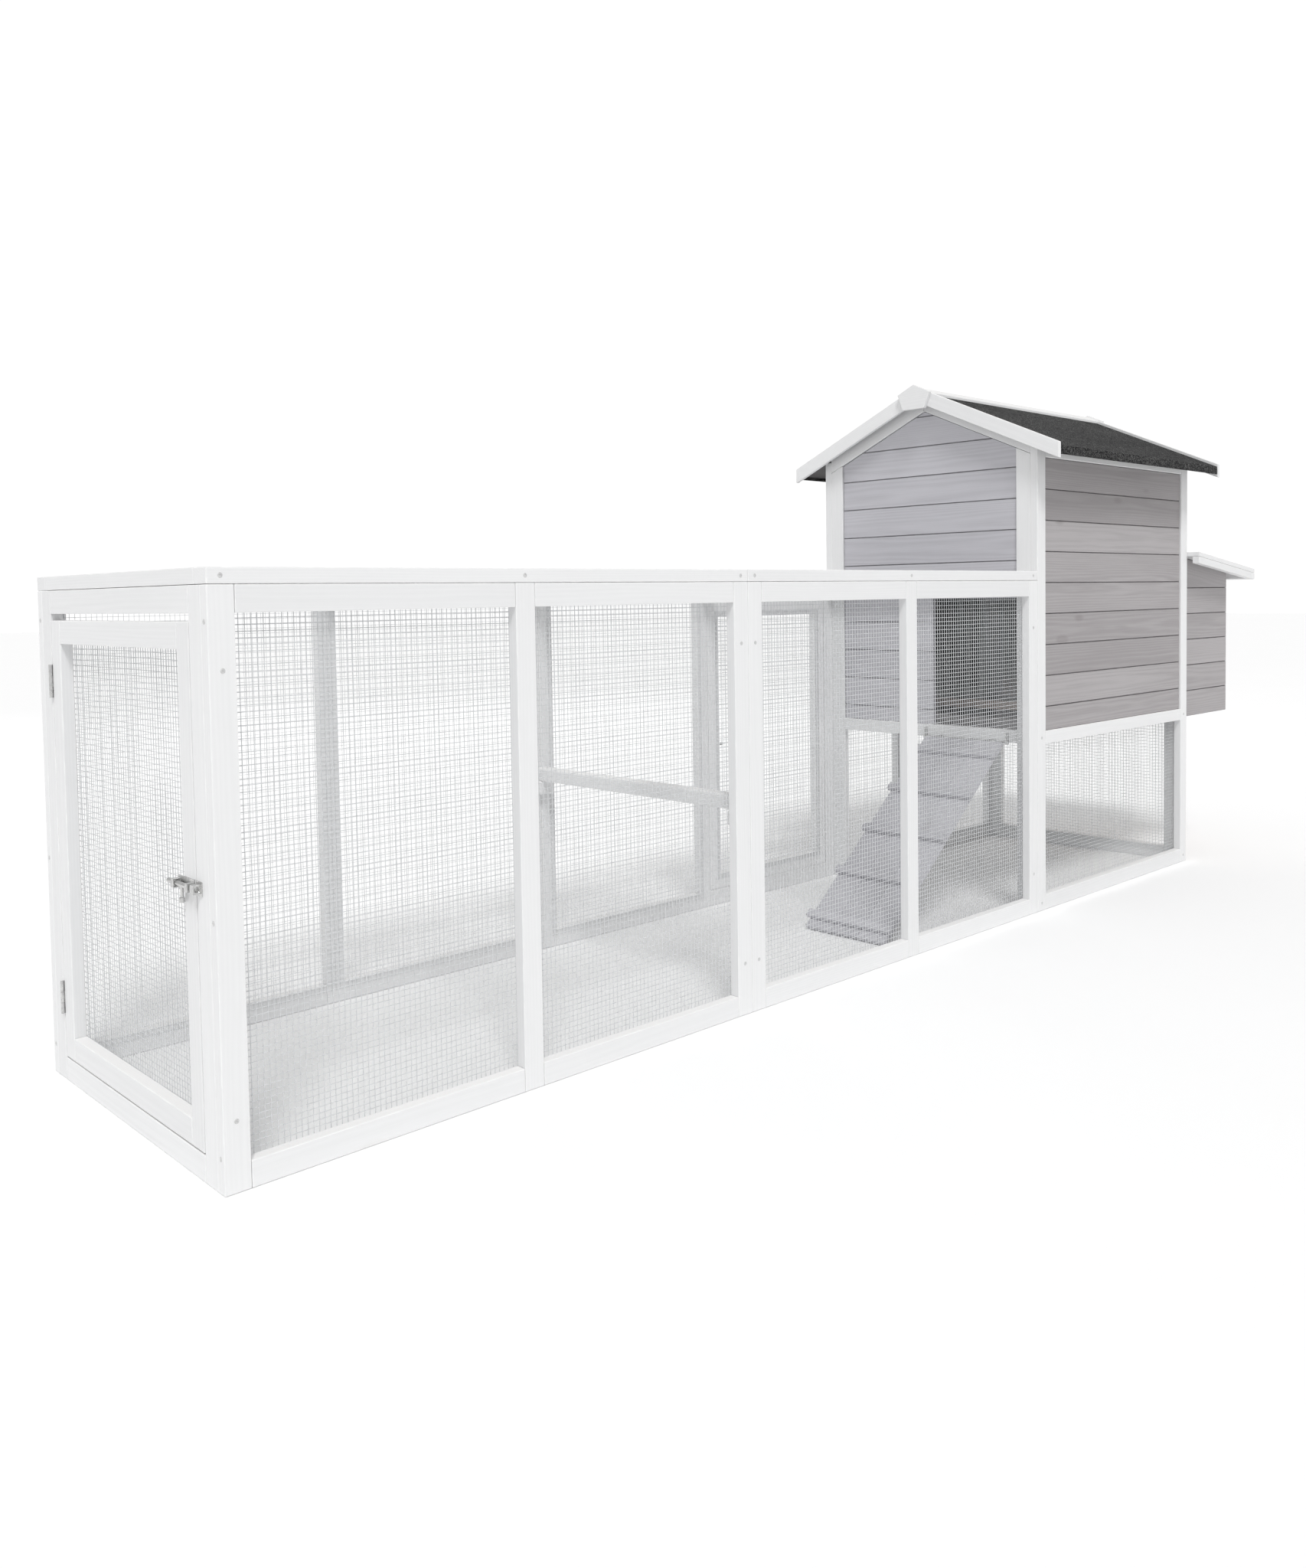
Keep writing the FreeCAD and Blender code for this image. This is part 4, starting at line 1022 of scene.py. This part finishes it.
@dataclass
class Ironmongery:
    """Hinges, pins, keepers and screw heads fixed to the coop itself."""

    screw: ScrewHead

    def build(self) -> None:
        """Build the fixed ironmongery and the screw heads."""
        for node in ("hinge_leaves", "hinge_pins", "bolt_keepers"):
            metal(node)
        self.build_screws()

    def build_screws(self) -> None:
        """Set a cross-recessed head at each of the frame's screws."""
        plain = lift("frame_screws")
        mesh = bmesh.new()
        dice = random.Random("screws")
        for corners in solid_parts(plain):
            low, high = box_of(corners)
            thin = min(range(3), key=lambda axis: high[axis] - low[axis])
            out = Vector()
            out[thin] = -1.0
            base = (low + high) / 2
            base[thin] = high[thin]
            self.screw.build(mesh, base, out, dice.uniform(0, math.pi / 2))
        plain.free()
        set_up("frame_screw_heads", mesh, SCREW_ZINC, "coop", ("frame_screws",), smooth=True)


# ---------------------------------------------------------------- studio

@dataclass(frozen=True)
class Lamp:
    """One soft box: its place, the point it faces, its size and its power."""

    name: str
    place: Triple
    aim: Triple
    size: float
    power: float


def shine(piece: bpy.types.Object, way: Vector) -> None:
    """Turn a light to shine along a direction."""
    piece.rotation_euler = way.to_track_quat("-Z", "Y").to_euler()


@dataclass
class Studio:
    """Pale floor, soft light and the camera."""

    floor_size: float = 120.0
    floor_drop: float = 0.0006
    floor_tones: tuple[Colour, Colour] = ((0.93, 0.93, 0.93), (0.945, 0.945, 0.945))
    sky: float = 0.6
    backdrop: float = 45.0
    eye: Triple = (-2.6203, -2.1270, 0.8717)
    right: Triple = (0.72535, -0.68821, -0.01542)
    down: Triple = (-0.04278, -0.02270, -0.99883)
    ahead: Triple = (0.68706, 0.72515, -0.04590)
    film: float = 36.0
    lens: float = 29.152
    rise: float = -0.0820
    sight: float = 200.0
    lamps: tuple[Lamp, ...] = (
        Lamp("side_box", (-6.0, 1.0, 3.2), (-1.0, 0.0, 0.4), 4.0, 12.0),
        Lamp("back_box", (3.0, 6.0, 4.0), (0.5, 0.0, 0.4), 4.0, 40.0),
    )
    key_way: Triple = (0.34, 0.46, -0.80)
    key_spread: float = 16.0
    key_power: float = 1.78

    def build(self) -> None:
        """Set up the floor, the light and the camera."""
        self.lay_floor()
        self.hang_backdrop()
        self.light()
        self.place_camera()

    def lay_floor(self) -> None:
        """Lay a wide pale floor."""
        mesh = bmesh.new()
        bmesh.ops.create_grid(mesh, x_segments=8, y_segments=8, size=self.floor_size / 2)
        data = bpy.data.meshes.new("studio_floor")
        mesh.to_mesh(data)
        mesh.free()
        floor = bpy.data.objects.new("studio_floor", data)
        bpy.context.scene.collection.objects.link(floor)
        floor.location.z = -self.floor_drop
        tree = Tree("pale_floor")
        where = tree.add("ShaderNodeTexCoord").outputs["Object"]
        cloud = tree.cloud(where, (1.5, 1.5, 1.5))
        tree.shade("Base Color", tree.blend(cloud, *self.floor_tones))
        tree.shade("Roughness", 0.85)
        tree.shade("Specular IOR Level", 0.1)
        data.materials.append(tree.material)

    def hang_backdrop(self) -> None:
        """Hang a plain white dome far behind the coop, which casts no light on it."""
        mesh = bmesh.new()
        bmesh.ops.create_uvsphere(mesh, u_segments=48, v_segments=24, radius=self.backdrop)
        data = bpy.data.meshes.new("studio_backdrop")
        mesh.to_mesh(data)
        mesh.free()
        dome = bpy.data.objects.new("studio_backdrop", data)
        bpy.context.scene.collection.objects.link(dome)
        dome.visible_diffuse = False
        dome.visible_glossy = False
        dome.visible_shadow = False
        tree = Tree("white_backdrop")
        tree.shade("Base Color", (0.0, 0.0, 0.0))
        tree.shade("Emission Color", (1.0, 1.0, 1.0))
        tree.shade("Emission Strength", 1.0)
        data.materials.append(tree.material)

    def light(self) -> None:
        """Light the scene with a pale sky and soft boxes."""
        world = bpy.data.worlds.new("studio_sky")
        world.use_nodes = True
        back = world.node_tree.nodes["Background"]
        back.inputs["Color"].default_value = (1.0, 1.0, 1.0, 1.0)
        back.inputs["Strength"].default_value = self.sky
        bpy.context.scene.world = world
        for lamp in self.lamps:
            data = bpy.data.lights.new(lamp.name, "AREA")
            data.shape = "SQUARE"
            data.size = lamp.size
            data.energy = lamp.power
            piece = bpy.data.objects.new(lamp.name, data)
            bpy.context.scene.collection.objects.link(piece)
            piece.location = lamp.place
            shine(piece, Vector(lamp.aim) - Vector(lamp.place))
        key = bpy.data.lights.new("key_light", "SUN")
        key.angle = math.radians(self.key_spread)
        key.energy = self.key_power
        piece = bpy.data.objects.new("key_light", key)
        bpy.context.scene.collection.objects.link(piece)
        shine(piece, Vector(self.key_way))
        bpy.context.scene.view_settings.view_transform = "Standard"

    def place_camera(self) -> None:
        """Stand the camera off the run's front corner, a little below eye level."""
        data = bpy.data.cameras.new("camera")
        data.sensor_width = self.film
        data.lens = self.lens
        data.shift_y = self.rise
        data.clip_end = self.sight
        camera = bpy.data.objects.new("camera", data)
        bpy.context.scene.collection.objects.link(camera)
        turn = Matrix((self.right, -Vector(self.down), -Vector(self.ahead))).transposed()
        camera.matrix_world = Matrix.Translation(self.eye) @ turn.to_4x4()
        bpy.context.scene.camera = camera


def main() -> None:
    """Build the studio, then the coop's sub-assemblies in order."""
    logging.basicConfig(level=logging.INFO, format="%(message)s")
    noise.seed_set(WIRE_SEED)
    for part in (
        Studio(),
        Run(),
        Door("end_door", Filling.WIRES),
        Door("run_door", Filling.WIRES),
        House(),
        Door("house_door", Filling.PLANKS),
        Roof(),
        NestBox(),
        Ramp(),
        Ironmongery(ScrewHead()),
    ):
        part.build()
        LOG.info("built: %s", type(part).__name__)


if __name__ == "__main__":
    main()
